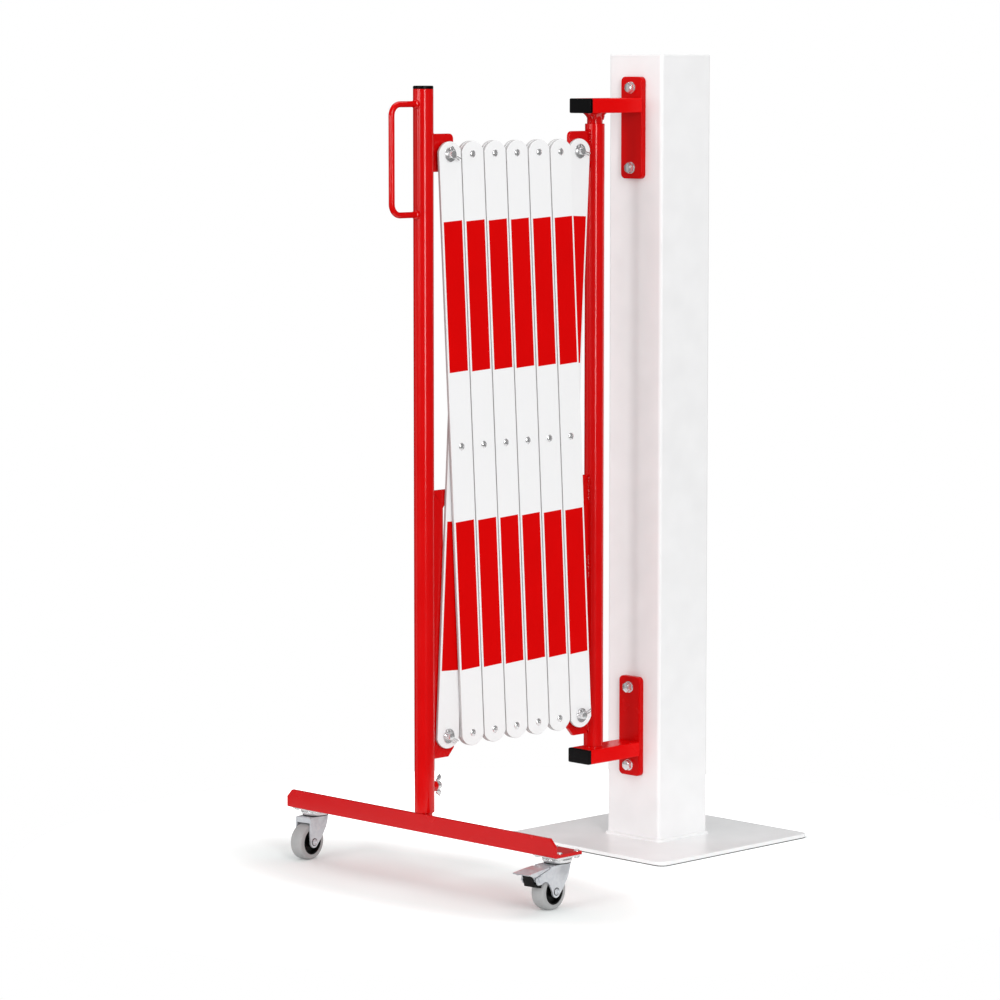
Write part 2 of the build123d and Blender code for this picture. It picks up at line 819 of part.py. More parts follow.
# ================================================================ write all nodes
save(base_plate(), "base_plate")
save(post_tube(), "post_tube")
save(post_cap(), "post_cap")
save_group(rivet_nuts(), "post_rivet_nuts")
save_group(bracket_bolts(), "bracket_bolts")
for label, side in (("upper", 1), ("lower", -1)):
    save(bracket_plate(side), f"{label}_bracket_plate")
    save(bracket_arm(side), f"{label}_bracket_arm")
    save(arm_cap(side), f"{label}_arm_cap")
save(upper_spigot(), "upper_spigot")
save(lower_spigot(), "lower_spigot")

save(pivot_tube(), "pivot_tube")
save(pin_lug(pivot_x, -1), "pivot_tube_lug")
save(slot_plate(pivot_x, -1), "pivot_tube_slot_plate")

for index in range(bar_count):
    save(front_bar(index), f"front_bar_{index + 1}")
    save(rear_bar(index), f"rear_bar_{index + 1}")
    save_group(front_rivets(index), f"bar_rivets_{index + 1}")

save_group(
    end_pin(first_node_x, top_row, plate_half, front_near, 45, [(front_far, -plate_half)]),
    "rolling_top_pin",
)
save_group(
    end_pin(last_node_x, top_row, plate_half, rear_near, 35, [(rear_far, -plate_half)]),
    "pivot_top_pin",
)
save_group(
    end_pin(first_node_x, bottom_row, plate_half + slide_gap, rear_near, 50,
            [(rear_far, -plate_half - slide_gap)]),
    "rolling_slot_pin",
)
save_group(
    end_pin(last_node_x, bottom_row, plate_half + slide_gap, front_near, 15,
            [(front_far, -plate_half - slide_gap)]),
    "pivot_slot_pin",
)

save(rolling_tube(), "rolling_tube")
save(tube_cap(), "rolling_tube_cap")
save(handle(), "pull_handle")
save(pin_lug(rolling_x, 1), "rolling_tube_lug")
save(slot_plate(rolling_x, 1), "rolling_tube_slot_plate")
save(weld_nut(), "weld_nut")
save(wing_screw(), "wing_screw")

save(foot_angle(), "foot_angle")
save(foot_spigot(), "foot_spigot")
save_group(castor_bolts(), "castor_bolts")
for which in ("front", "back"):
    save(castor_head(which), f"{which}_castor_head")
    save(castor_fork(which), f"{which}_castor_fork")
    save(castor_axle(which), f"{which}_castor_axle")
    save(castor_tyre(which), f"{which}_wheel_tyre")
    save(castor_core(which), f"{which}_wheel_core")
save(brake_pedal(), "brake_pedal")
save(brake_shoe(), "brake_shoe")
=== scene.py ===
"""Looks of an expanding scissor barrier on a fixed post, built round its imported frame.

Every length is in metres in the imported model's frame: +Z is up, the barrier opens along -X, and
its front bars face -Y.
"""
import json
import logging
import math
from dataclasses import dataclass
from enum import Enum
from functools import cached_property
from typing import Protocol

import bmesh
import bpy
import numpy as np
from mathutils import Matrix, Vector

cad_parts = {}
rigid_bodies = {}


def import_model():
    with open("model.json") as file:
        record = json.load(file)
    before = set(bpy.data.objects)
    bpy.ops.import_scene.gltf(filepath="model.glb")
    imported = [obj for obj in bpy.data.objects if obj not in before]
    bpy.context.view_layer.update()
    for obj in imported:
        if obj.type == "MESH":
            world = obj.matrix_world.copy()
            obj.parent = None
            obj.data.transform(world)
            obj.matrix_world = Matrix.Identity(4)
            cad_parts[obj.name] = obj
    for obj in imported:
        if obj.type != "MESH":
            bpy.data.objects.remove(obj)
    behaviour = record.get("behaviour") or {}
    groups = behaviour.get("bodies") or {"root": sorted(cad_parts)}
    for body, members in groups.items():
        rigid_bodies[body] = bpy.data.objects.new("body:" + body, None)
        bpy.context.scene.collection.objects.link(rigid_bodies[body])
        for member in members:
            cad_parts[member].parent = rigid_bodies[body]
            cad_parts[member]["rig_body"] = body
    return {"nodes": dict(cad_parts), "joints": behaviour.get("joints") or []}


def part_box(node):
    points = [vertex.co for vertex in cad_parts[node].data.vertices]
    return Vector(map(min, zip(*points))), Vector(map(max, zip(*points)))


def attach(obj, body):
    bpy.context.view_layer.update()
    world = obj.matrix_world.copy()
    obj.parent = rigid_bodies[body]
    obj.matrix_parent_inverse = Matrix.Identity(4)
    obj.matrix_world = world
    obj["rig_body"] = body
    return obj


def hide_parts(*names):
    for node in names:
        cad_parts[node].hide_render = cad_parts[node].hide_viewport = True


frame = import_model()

LOG = logging.getLogger("barrier")
Array = np.ndarray
Colour = tuple[float, float, float]

MM = 0.001
FULL_TURN = 2 * math.pi
QUARTER_TURN = math.pi / 2
SHARP = math.radians(38)
GUARD = 0.4 * MM
LEAST_SPREAD = 0.3
CHAMFER_FACE = 0.47
CHAMFER_SLOPE = math.tan(math.radians(30))
LATHE_STEPS = 56
BEVEL_STEPS = 2
PEEL_SIZE = 1.9 * MM
MERGE_DISTANCE = 1e-6
FLAT_ANGLE = math.radians(0.5)
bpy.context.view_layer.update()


# --------------------------------------------------------------------------- places
@dataclass(frozen=True)
class Span:
    """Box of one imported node."""

    low: Array
    high: Array

    @classmethod
    def of(cls, node: str) -> "Span":
        """Read a node's box.

        Args:
            node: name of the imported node.

        Returns:
            The box from its lowest to its highest corner.
        """
        low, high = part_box(node)
        return cls(np.array(low), np.array(high))

    @property
    def centre(self) -> Array:
        """Middle of the box."""
        return (self.low + self.high) / 2

    @property
    def size(self) -> Array:
        """Length of the box along each axis."""
        return self.high - self.low


def joint(name: str) -> dict:
    """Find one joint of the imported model.

    Args:
        name: the joint's name.

    Returns:
        Its row, with pos_m and axis.
    """
    return next(row for row in frame["joints"] if row["name"] == name)


def joint_place(name: str) -> Array:
    """Position of one joint."""
    return np.array(joint(name)["pos_m"])


class Facing(Enum):
    """Which frame axis a piece's own third axis follows; the rows are its own three axes."""

    X = ((0, 1, 0), (0, 0, 1), (1, 0, 0))
    Y = ((1, 0, 0), (0, 0, 1), (0, 1, 0))
    Z = ((1, 0, 0), (0, 1, 0), (0, 0, 1))


@dataclass(frozen=True)
class Seat:
    """Where a piece's own axes lie in the frame."""

    origin: Array
    axes: Array

    @classmethod
    def facing(cls, facing: Facing, origin: tuple[float, float, float] = (0, 0, 0)) -> "Seat":
        """Seat whose own third axis follows a frame axis.

        Args:
            facing: the frame axis.
            origin: where the piece's own origin lies.

        Returns:
            The seat.
        """
        return cls(np.array(origin, float), np.array(facing.value, float))

    def place(self, points: Array) -> Array:
        """Move own points into the frame: origin + x * first axis + y * second + z * third."""
        return self.origin + points @ self.axes


# --------------------------------------------------------------------------- outlines
def arc(centre: tuple[float, float], radius: float, start: float, stop: float, steps: int) -> Array:
    """Points of an arc: centre + radius * (cos a, sin a) for even steps of a."""
    angle = np.linspace(start, stop, steps + 1)
    return np.stack([centre[0] + radius * np.cos(angle), centre[1] + radius * np.sin(angle)], -1)


def turned(points: Array, angle: float) -> Array:
    """Pairs turned about the origin: (x * cos a - y * sin a, x * sin a + y * cos a)."""
    return points @ np.array([(math.cos(angle), math.sin(angle)), (-math.sin(angle), math.cos(angle))])


def unit(vector: Array) -> Array:
    """The vector divided by its length, along the last axis."""
    return vector / np.linalg.norm(vector, axis=-1, keepdims=True)


def rounded(corners: list[tuple[float, float]], radii: list[float] | float, steps: int = 5) -> Array:
    """Closed outline whose corners are arcs.

    At a corner whose two sides enclose the angle q, an arc of radius r touches them r / tan(q / 2)
    away, and its centre lies r / sin(q / 2) along their bisector. A guard point just outside each
    end of the arc keeps the flats beside it flat in shading.

    Args:
        corners: the outline's corners in order.
        radii: radius of each corner, or one for all.
        steps: steps of each arc.

    Returns:
        The outline's points, as an array of pairs.
    """
    places = np.array(corners, float)
    sizes = np.broadcast_to(np.asarray(radii, float), len(places))
    pieces = []
    for index, (corner, radius) in enumerate(zip(places, sizes)):
        back = unit(places[index - 1] - corner)
        ahead = unit(places[(index + 1) % len(places)] - corner)
        half = math.acos(float(np.clip(back @ ahead, -1, 1))) / 2
        reach = radius / math.tan(half)
        centre = corner + unit(back + ahead) * radius / math.sin(half)
        start = corner + back * reach - centre
        turn = math.pi - 2 * half
        way = math.copysign(1, start[1] * back[0] - start[0] * back[1])
        angle = math.atan2(start[1], start[0]) + way * np.linspace(0, turn, steps + 1)
        bend = centre + radius * np.stack([np.cos(angle), np.sin(angle)], -1)
        pieces.append(np.vstack([bend[0] + back * GUARD, bend, bend[-1] + ahead * GUARD]))
    return np.vstack(pieces)


def rounded_rectangle(width: float, height: float, radius: float, steps: int = 5) -> Array:
    """Rectangle about its own origin with four rounded corners."""
    x, y = width / 2, height / 2
    return rounded([(x, -y), (x, y), (-x, y), (-x, -y)], radius, steps)


def divided(outline: Array, spacing: float) -> Array:
    """Closed outline with points added so that none of its sides is longer than spacing."""
    ahead = np.roll(outline, -1, axis=0)
    length = np.linalg.norm(ahead - outline, axis=-1)
    travelled = np.concatenate([[0], np.cumsum(length)])
    counts = np.maximum(np.ceil(length / spacing).astype(int), 1)
    stations = np.concatenate([
        travelled[index] + length[index] * np.arange(count) / count for index, count in enumerate(counts)
    ])
    closed = np.vstack([outline, outline[:1]])
    return np.stack([np.interp(stations, travelled, closed[:, axis]) for axis in (0, 1)], -1)


def drawn_in(outline: Array, distance: float) -> Array:
    """Outline moved inwards: each point goes along the mean of its two sides' normals.

    The step is distance * (n1 + n2) / (1 + n1 . n2), which keeps both sides parallel.
    """
    side = unit(np.roll(outline, -1, axis=0) - outline)
    normal = np.stack([side[:, 1], -side[:, 0]], -1)
    before = np.roll(normal, 1, axis=0)
    spread = np.maximum(1 + (normal * before).sum(-1, keepdims=True), LEAST_SPREAD)
    ahead = np.roll(outline, -1, axis=0)
    area = (outline[:, 0] * ahead[:, 1] - ahead[:, 0] * outline[:, 1]).sum()
    return outline - math.copysign(distance, area) * (normal + before) / spread


# --------------------------------------------------------------------------- surfaces
def even_turn(steps: int) -> Array:
    """Even steps of a full turn, without its end."""
    return np.arange(steps) * FULL_TURN / steps


def drifts(seed: int, rows: int, knots: int, count: int) -> Array:
    """Smooth noise: rows of random knots, each joined by straight lines and read at count points."""
    noise = np.random.default_rng(seed).normal(0, 1, (rows, knots))
    along, places = np.linspace(0, 1, count), np.linspace(0, 1, knots)
    return np.stack([np.interp(along, places, row) for row in noise])


def millimetres(*pairs: tuple[float, float]) -> Array:
    """Pairs of lengths that are given in millimetres."""
    return np.array(pairs) * MM


def mirrored(half: Array) -> Array:
    """Profile of a part with two equal sides: its half, then that half reversed and turned over."""
    return np.vstack([half, half[::-1] * (1, -1)])


def raised(outline: Array, height: float) -> Array:
    """Outline as a ring of points at one height."""
    return np.column_stack([outline, np.full(len(outline), height)])


def hollow(outer: Array, inner: Array, low: float, high: float) -> Array:
    """Rings of a straight tube, to be looped: its outer wall goes up and its inner wall comes down."""
    return np.stack([raised(outer, low), raised(outer, high), raised(inner, high), raised(inner, low)])


def slab(
    outline: Array, low: float, high: float, edge: float, steps: int = 3, far_edge: float | None = None
) -> Array:
    """Rings of a plate with rounded edges.

    Near each face the outline is drawn in by e * (1 - sin a) at a depth of e * (1 - cos a), for a
    from 0 at the face to a quarter turn at the side.

    Args:
        outline: the plate's outline; a negative edge widens it, as for a hole.
        low: where its first face lies.
        high: where its second face lies.
        edge: radius of the first face's edge.
        steps: steps of each rounded edge.
        far_edge: radius of the second face's edge, if it differs.

    Returns:
        Rings of points, of shape (rings, points, 3).
    """
    last = edge if far_edge is None else far_edge
    angle = np.linspace(0, QUARTER_TURN, steps + 1)
    rows = [(edge + math.copysign(GUARD, edge), low)]
    rows += [(edge * (1 - math.sin(a)), low + abs(edge) * (1 - math.cos(a))) for a in angle]
    rows.append((0.0, low + abs(edge) + GUARD))
    rows.append((0.0, high - abs(last) - GUARD))
    rows += [(last * (1 - math.sin(a)), high - abs(last) * (1 - math.cos(a))) for a in angle[::-1]]
    rows.append((last + math.copysign(GUARD, last), high))
    return np.stack([raised(drawn_in(outline, distance), height) for distance, height in rows])


def around(radius: Array, height: Array, steps: int) -> Array:
    """Rings about the third axis: (r * cos a, r * sin a, h) for even steps of a."""
    angle = even_turn(steps)
    level = np.broadcast_to(height, (len(height), steps))
    return np.stack([radius * np.cos(angle), radius * np.sin(angle), level], -1)


def lathe(profile: Array, steps: int = LATHE_STEPS) -> Array:
    """Rings of a turned piece, one for each (r, h) of its profile."""
    return around(profile[:, :1], profile[:, 1:], steps)


def pipe(path: Array, radius: Array | float, steps: int = 12, looped: bool = False) -> Array:
    """Rings of a round wire along a flat path.

    A ring's points are p + r * cos(a) * n + r * sin(a) * k, where n is the path's normal in its own
    plane and k is the direction out of that plane.

    Args:
        path: points (x, y) of the centre line.
        radius: radius of the wire, the same all along or one for each point.
        steps: points of each ring.
        looped: whether the path closes on itself.

    Returns:
        Rings of points, of shape (rings, points, 3).
    """
    points = raised(path, 0.0)
    if looped:
        tangent = unit(np.roll(points, -1, axis=0) - np.roll(points, 1, axis=0))
    else:
        tangent = unit(np.gradient(points, axis=0))
    normal = unit(np.stack([-tangent[:, 1], tangent[:, 0], np.zeros(len(points))], -1))
    angle = even_turn(steps)[:, None]
    size = np.broadcast_to(radius, len(points))[:, None, None]
    upright = np.array([0.0, 0.0, 1.0])
    return points[:, None] + size * (np.cos(angle) * normal[:, None] + np.sin(angle) * upright)


def bead(
    start: Array, stop: Array, radius: float, seed: int, ripple: float = 2.2 * MM, rough: float = 0.10,
) -> Array:
    """Rings of a straight weld bead.

    Its radius is r * (1 + a sine of one wave per ripple + smooth noise), and it falls to nothing at
    both ends as the square root of the distance to the end.

    Args:
        start: first end, in the frame.
        stop: second end, in the frame.
        radius: mean radius of the bead.
        seed: seed of its noise.
        ripple: length of one ripple.
        rough: share of the radius by which the noise swells it.

    Returns:
        Rings of points, of shape (rings, points, 3).
    """
    ripple_steps, least_steps, knot_steps, sides = 6, 12, 5, 10
    wave, wander, taper, least_end = 0.14, 0.12, 1.6, 0.02
    slant = (0.31, 0.67, 0.12)
    length = float(np.linalg.norm(stop - start))
    count = max(int(length / (ripple / ripple_steps)), least_steps)
    along = np.linspace(0, 1, count)
    drift = drifts(seed, 3, count // knot_steps + 3, count)
    swell = 1 + wave * np.sin(FULL_TURN * along * length / ripple) + rough * drift[0]
    ends = np.sqrt(np.clip(np.minimum(along, 1 - along) * length / (taper * radius), least_end, 1))
    size = radius * swell * ends
    axis = unit(stop - start)
    first = unit(np.cross(axis, slant))
    second = np.cross(axis, first)
    angle = even_turn(sides)
    centre = start + np.outer(along, stop - start)
    centre = centre + wander * radius * (np.outer(drift[1], first) + np.outer(drift[2], second))
    section = np.outer(np.cos(angle), first) + np.outer(np.sin(angle), second)
    return centre[:, None] + size[:, None, None] * section


def hexagon(across: float, low: float, high: float, chamfered: tuple[bool, bool], steps: int = 72) -> Array:
    """Rings of a hexagon head or nut.

    The radius at the angle a is the hexagon's, (across / 2) / cos(a from its side's middle), or
    that of a 30 degree chamfer cone where the cone is smaller.

    Args:
        across: width across the flats.
        low: where the first face lies.
        high: where the second face lies.
        chamfered: whether the first and the second face have the chamfer.
        steps: points of each ring.

    Returns:
        Rings of points, of shape (rings, points, 3).
    """
    sector = FULL_TURN / 6
    depth = across * (1 / math.sqrt(3) - CHAMFER_FACE) * CHAMFER_SLOPE
    past_chamfer = 1.15
    share = np.linspace(0, 1, 5) * past_chamfer * depth
    height = np.concatenate([low + share, high - share[::-1]])[:, None]
    radius = across / 2 / np.cos((even_turn(steps) + sector / 2) % sector - sector / 2)
    for face, cut in zip((low, high), chamfered):
        if cut:
            radius = np.minimum(radius, CHAMFER_FACE * across + np.abs(height - face) / CHAMFER_SLOPE)
    return around(radius, height, steps)


# --------------------------------------------------------------------------- shading
class Signal:
    """One socket of a shader, usable in Python arithmetic."""

    def __init__(self, shader: "Shader", socket: bpy.types.NodeSocket) -> None:
        """Keep the socket with the shader that owns it."""
        self.shader = shader
        self.socket = socket

    def _join(self, operation: str, *values: "Signal | float") -> "Signal":
        """Add one Math node on the given values."""
        return self.shader.node("ShaderNodeMath", {"operation": operation}, dict(enumerate(values)))

    def __add__(self, other: "Signal | float") -> "Signal":
        """self + other."""
        return self._join("ADD", self, other)

    __radd__ = __add__

    def __sub__(self, other: "Signal | float") -> "Signal":
        """self - other."""
        return self._join("SUBTRACT", self, other)

    def __rsub__(self, other: "Signal | float") -> "Signal":
        """other - self."""
        return self._join("SUBTRACT", other, self)

    def __mul__(self, other: "Signal | float") -> "Signal":
        """self * other."""
        return self._join("MULTIPLY", self, other)

    __rmul__ = __mul__

    def __abs__(self) -> "Signal":
        """Distance from zero."""
        return self._join("ABSOLUTE", self)

    def at_least(self, other: "Signal | float") -> "Signal":
        """The larger of the two."""
        return self._join("MAXIMUM", self, other)

    def step(self, low: float, high: float) -> "Signal":
        """Smooth rise from 0 at low to 1 at high."""
        return self.shader.node(
            "ShaderNodeMapRange", {"interpolation_type": "SMOOTHSTEP"}, {0: self, 1: low, 2: high}
        )


def shaded(colour: Colour, share: float) -> Colour:
    """Colour made darker or lighter by one factor."""
    return tuple(min(part * share, 1.0) for part in colour)


class Shader:
    """A material whose nodes come from Python expressions."""

    def __init__(self, name: str) -> None:
        """Start a material with one Principled surface.

        Args:
            name: the material's name.
        """
        self.material = bpy.data.materials.new(name)
        self.material.use_nodes = True
        self.surface = self.material.node_tree.nodes["Principled BSDF"]

    def node(
        self, kind: str, settings: dict | None = None, inputs: dict | None = None, output: int | str = 0
    ) -> Signal:
        """Add one node.

        Args:
            kind: the node's type.
            settings: its properties, set first.
            inputs: values or signals of its sockets, by index or name.
            output: which of its outputs is wanted.

        Returns:
            That output.
        """
        made = self.material.node_tree.nodes.new(kind)
        for key, value in (settings or {}).items():
            setattr(made, key, value)
        for key, value in (inputs or {}).items():
            self._fill(made.inputs[key], value)
        return Signal(self, made.outputs[output])

    def _fill(self, socket: bpy.types.NodeSocket, value: "Signal | float | tuple") -> None:
        """Link a signal to a socket, or set the socket's constant."""
        if isinstance(value, Signal):
            self.material.node_tree.links.new(value.socket, socket)
        else:
            socket.default_value = value

    def set(self, **sockets: "Signal | float | tuple") -> None:
        """Give the surface's sockets their values; an underscore stands for a space."""
        for key, value in sockets.items():
            self._fill(self.surface.inputs[key.replace("_", " ")], value)

    def place(self) -> Signal:
        """Object coordinates of the shaded point."""
        return self.node("ShaderNodeTexCoord", output="Object")

    def map_parts(self, name: str) -> tuple[Signal, Signal]:
        """First and second coordinate of a piece's own map.

        Args:
            name: name of the map.

        Returns:
            The two coordinates, in metres.
        """
        across, along, _ = self.parts(self.node("ShaderNodeUVMap", {"uv_map": name}))
        return across, along

    def parts(self, vector: Signal) -> list[Signal]:
        """The three coordinates of a vector."""
        split = self.node("ShaderNodeSeparateXYZ", None, {0: vector})
        return [Signal(self, socket) for socket in split.socket.node.outputs]

    def noise(self, place: Signal, size: float, detail: float = 2.0) -> Signal:
        """Smooth noise from 0 to 1 whose patches are about size across."""
        return self.node("ShaderNodeTexNoise", None, {"Vector": place, "Scale": 1 / size, "Detail": detail})

    def length(self, x: Signal, y: Signal) -> Signal:
        """Length of the vector (x, y)."""
        pair = self.node("ShaderNodeCombineXYZ", None, {0: x, 1: y})
        return self.node("ShaderNodeVectorMath", {"operation": "LENGTH"}, {0: pair}, output=1)

    def mix(self, share: Signal, first: Signal | tuple, second: Signal | tuple) -> Signal:
        """First colour where share is 0 and second where it is 1."""
        inputs = {0: share, 6: first, 7: second}
        return self.node("ShaderNodeMix", {"data_type": "RGBA"}, inputs, output=2)

    def blend(self, share: Signal, first: Colour, second: Colour) -> Signal:
        """Plain colour that goes from first to second as share goes from 0 to 1."""
        return self.mix(share, (*first, 1.0), (*second, 1.0))

    def drifting(self, drift: Signal, colour: Colour, amount: float) -> Signal:
        """Colour that drift carries from amount darker to amount lighter."""
        return self.blend(drift, shaded(colour, 1 - amount), shaded(colour, 1 + amount))

    def bump(self, height: Signal, depth: float) -> None:
        """Raise the surface's normal by a height from 0 to 1 that stands for depth in metres."""
        inputs = {"Height": height, "Strength": 1.0, "Distance": depth}
        self.set(Normal=self.node("ShaderNodeBump", None, inputs))


class Finish(Protocol):
    """What a finish carries: its material, which a piece takes, and a slot name."""

    slot: str
    material: bpy.types.Material


@dataclass(frozen=True)
class PowderCoat:
    """Baked powder coat with a fine orange peel and a slight drift in colour and gloss."""

    name: str
    slot: str
    colour: Colour
    roughness: float
    shine: float = 0.5
    peel_depth: float = 3e-6
    drift_size: float = 45 * MM
    colour_drift: float = 0.05
    gloss_drift: float = 0.08

    @cached_property
    def material(self) -> bpy.types.Material:
        """The coat as a material."""
        shader = Shader(self.name)
        place = shader.place()
        drift = shader.noise(place, size=self.drift_size)
        peel = shader.noise(place, size=PEEL_SIZE)
        shader.set(
            Base_Color=shader.drifting(drift, self.colour, self.colour_drift),
            Roughness=self.roughness + self.gloss_drift * (drift - 0.5),
            Specular_IOR_Level=self.shine,
        )
        shader.bump(peel, self.peel_depth)
        return shader.material


@dataclass(frozen=True)
class FilmedBar:
    """White coated bar with two bands of red reflective film on each face.

    The bands follow the piece's own map, whose first coordinate runs across the bar and whose
    second runs along it, both from the bar's middle.
    """

    name: str
    slot: str
    coat: Colour
    film: Colour
    half_width: float = 17.0 * MM
    band_near: float = 100 * MM
    band_far: float = 300 * MM
    soft: float = 0.25 * MM
    shine: float = 0.03
    # Darker grey of the bar's cut edges and round ends.
    edge_grey: Colour = (0.60, 0.59, 0.59)
    edge_grey_rim: tuple[float, float] = (0.45 * MM, 0.15 * MM)
    coat_roughness: float = 0.34
    film_roughness: float = 0.48
    film_depth: float = 0.1 * MM
    cell_size: float = 0.9 * MM
    cell_share: float = 0.1
    peel_share: float = 0.05
    drift_size: float = 50 * MM
    coat_drift: float = 0.015
    film_drift: float = 0.05
    edge_grey_drift: float = 0.10
    gloss_drift: float = 0.06

    def cut(self, distance: Signal, edge: float) -> Signal:
        """1 where a distance reaches the bar's cut edge, and 0 on its faces."""
        return distance.step(edge - self.edge_grey_rim[0], edge - self.edge_grey_rim[1])

    @cached_property
    def material(self) -> bpy.types.Material:
        """The bar's coat and film as one material."""
        shader = Shader(self.name)
        across, along = shader.map_parts(LatticeBar.MAP)
        side = 1 - abs(across).step(self.half_width - self.soft, self.half_width + self.soft)
        begin = abs(along).step(self.band_near - self.soft, self.band_near + self.soft)
        end = 1 - abs(along).step(self.band_far - self.soft, self.band_far + self.soft)
        film = side * begin * end
        reach, corner = LatticeBar.length / 2 - LatticeBar.end_radius, LatticeBar.end_radius
        beyond = (abs(along) - reach).at_least(0.0)
        ends = self.cut(shader.length(across, beyond), corner)
        # Share of darker grey on the cut edges and round ends.
        edge_grey = self.cut(abs(across), LatticeBar.width / 2).at_least(ends)
        place = shader.place()
        drift = shader.noise(place, size=self.drift_size)
        peel = shader.noise(place, size=PEEL_SIZE)
        cells = shader.noise(place, size=self.cell_size, detail=0.0)
        coat = shader.blend(drift, shaded(self.coat, 1 - self.coat_drift), self.coat)
        red = shader.drifting(drift, self.film, self.film_drift)
        # Darker grey of the cut edges.
        steel = shader.drifting(drift, self.edge_grey, self.edge_grey_drift)
        rougher = self.film_roughness - self.coat_roughness
        shader.set(
            Base_Color=shader.mix(edge_grey, shader.mix(film, coat, red), steel),
            Roughness=self.coat_roughness + rougher * film + self.gloss_drift * (drift - 0.5),
            Specular_IOR_Level=self.shine,
        )
        raised_film = film * ((1 - self.cell_share) + self.cell_share * cells)
        shader.bump(raised_film + self.peel_share * peel, self.film_depth)
        return shader.material


@dataclass(frozen=True)
class ZincPlate:
    """Bright zinc plate over pressed or turned steel, slightly cloudy."""

    name: str
    slot: str
    light: Colour
    dark: Colour
    roughness: float
    metal: float = 0.72
    clouding: float = 0.16
    grain_depth: float = 4e-6
    cloud_size: float = 5 * MM
    cloud_edge: tuple[float, float] = (0.3, 0.7)
    grain_size: float = 0.7 * MM
    grain_gloss: float = 0.08

    @cached_property
    def material(self) -> bpy.types.Material:
        """The plate as a material."""
        shader = Shader(self.name)
        place = shader.place()
        cloud = shader.noise(place, size=self.cloud_size, detail=3.0)
        grain = shader.noise(place, size=self.grain_size)
        shader.set(
            Base_Color=shader.blend(cloud.step(*self.cloud_edge), self.dark, self.light),
            Metallic=self.metal,
            Roughness=self.roughness + self.clouding * (cloud - 0.5) + self.grain_gloss * (grain - 0.5),
        )
        shader.bump(grain, self.grain_depth)
        return shader.material


@dataclass(frozen=True)
class Moulding:
    """Moulded plastic or rubber with a fine matt grain."""

    name: str
    slot: str
    colour: Colour
    roughness: float
    shine: float = 0.5
    grain_size: float = 0.5 * MM
    grain_depth: float = 8e-6
    drift_size: float = 9 * MM
    colour_drift: float = 0.08
    gloss_drift: float = 0.12

    @cached_property
    def material(self) -> bpy.types.Material:
        """The moulding as a material."""
        shader = Shader(self.name)
        place = shader.place()
        drift = shader.noise(place, size=self.drift_size)
        grain = shader.noise(place, size=self.grain_size)
        shader.set(
            Base_Color=shader.drifting(drift, self.colour, self.colour_drift),
            Roughness=self.roughness + self.gloss_drift * (drift - 0.5),
            Specular_IOR_Level=self.shine,
        )
        shader.bump(grain, self.grain_depth)
        return shader.material


WHITE_COAT = PowderCoat("white_coat", "white_coat", (0.90, 0.90, 0.905), 0.34, 0.3)
RED_COAT = PowderCoat("red_coat", "red_coat", (0.64, 0.0003, 0.0006), 0.15, 0.50)
# Lit and shaded copies of the one red coat: the bracket plates' darker copy is painted shade, the arms'
# lighter copy painted light.
SHADED_PLATE_COAT = PowderCoat("plate_coat", "red_coat", (0.60, 0.0003, 0.0006), 0.26, 0.11)
LIT_ARM_COAT = PowderCoat("arm_coat", "red_coat", (0.75, 0.0003, 0.0006), 0.26, 0.11)
FOOT_COAT = PowderCoat("foot_coat", "red_coat", (0.58, 0.0010, 0.0030), 0.26, 0.30)
WELD_COAT = PowderCoat("weld_coat", "red_coat", (0.60, 0.0006, 0.0012), 0.08, 0.9, 14e-6)
STRIPED_BAR = FilmedBar("striped_bar", "striped_bar", (0.90, 0.90, 0.905), (0.68, 0.0004, 0.0006))
BRIGHT_ZINC = ZincPlate("bright_zinc", "zinc", (0.95, 0.95, 0.96), (0.86, 0.86, 0.87), 0.24, 0.76, 0.08, 2e-6)
CASTOR_ZINC = ZincPlate(
    "castor_zinc", "zinc", (0.73, 0.75, 0.78), (0.66, 0.68, 0.72), 0.34, 0.60, 0.05, 0.8e-6,
)
BLACK_PLASTIC = Moulding("black_plastic", "black_plastic", (0.0020, 0.0018, 0.0022), 0.34, 0.16)
# Black of the wheel cores, also used for the dark strips and rings that paint shade in gaps.
BLACK_CORE_AND_SHADE = Moulding("black_core", "black_plastic", (0.0015, 0.0015, 0.0016), 0.40, 0.14)
GREY_RUBBER = Moulding("grey_rubber", "grey_rubber", (0.375, 0.375, 0.377), 0.50, 0.3)


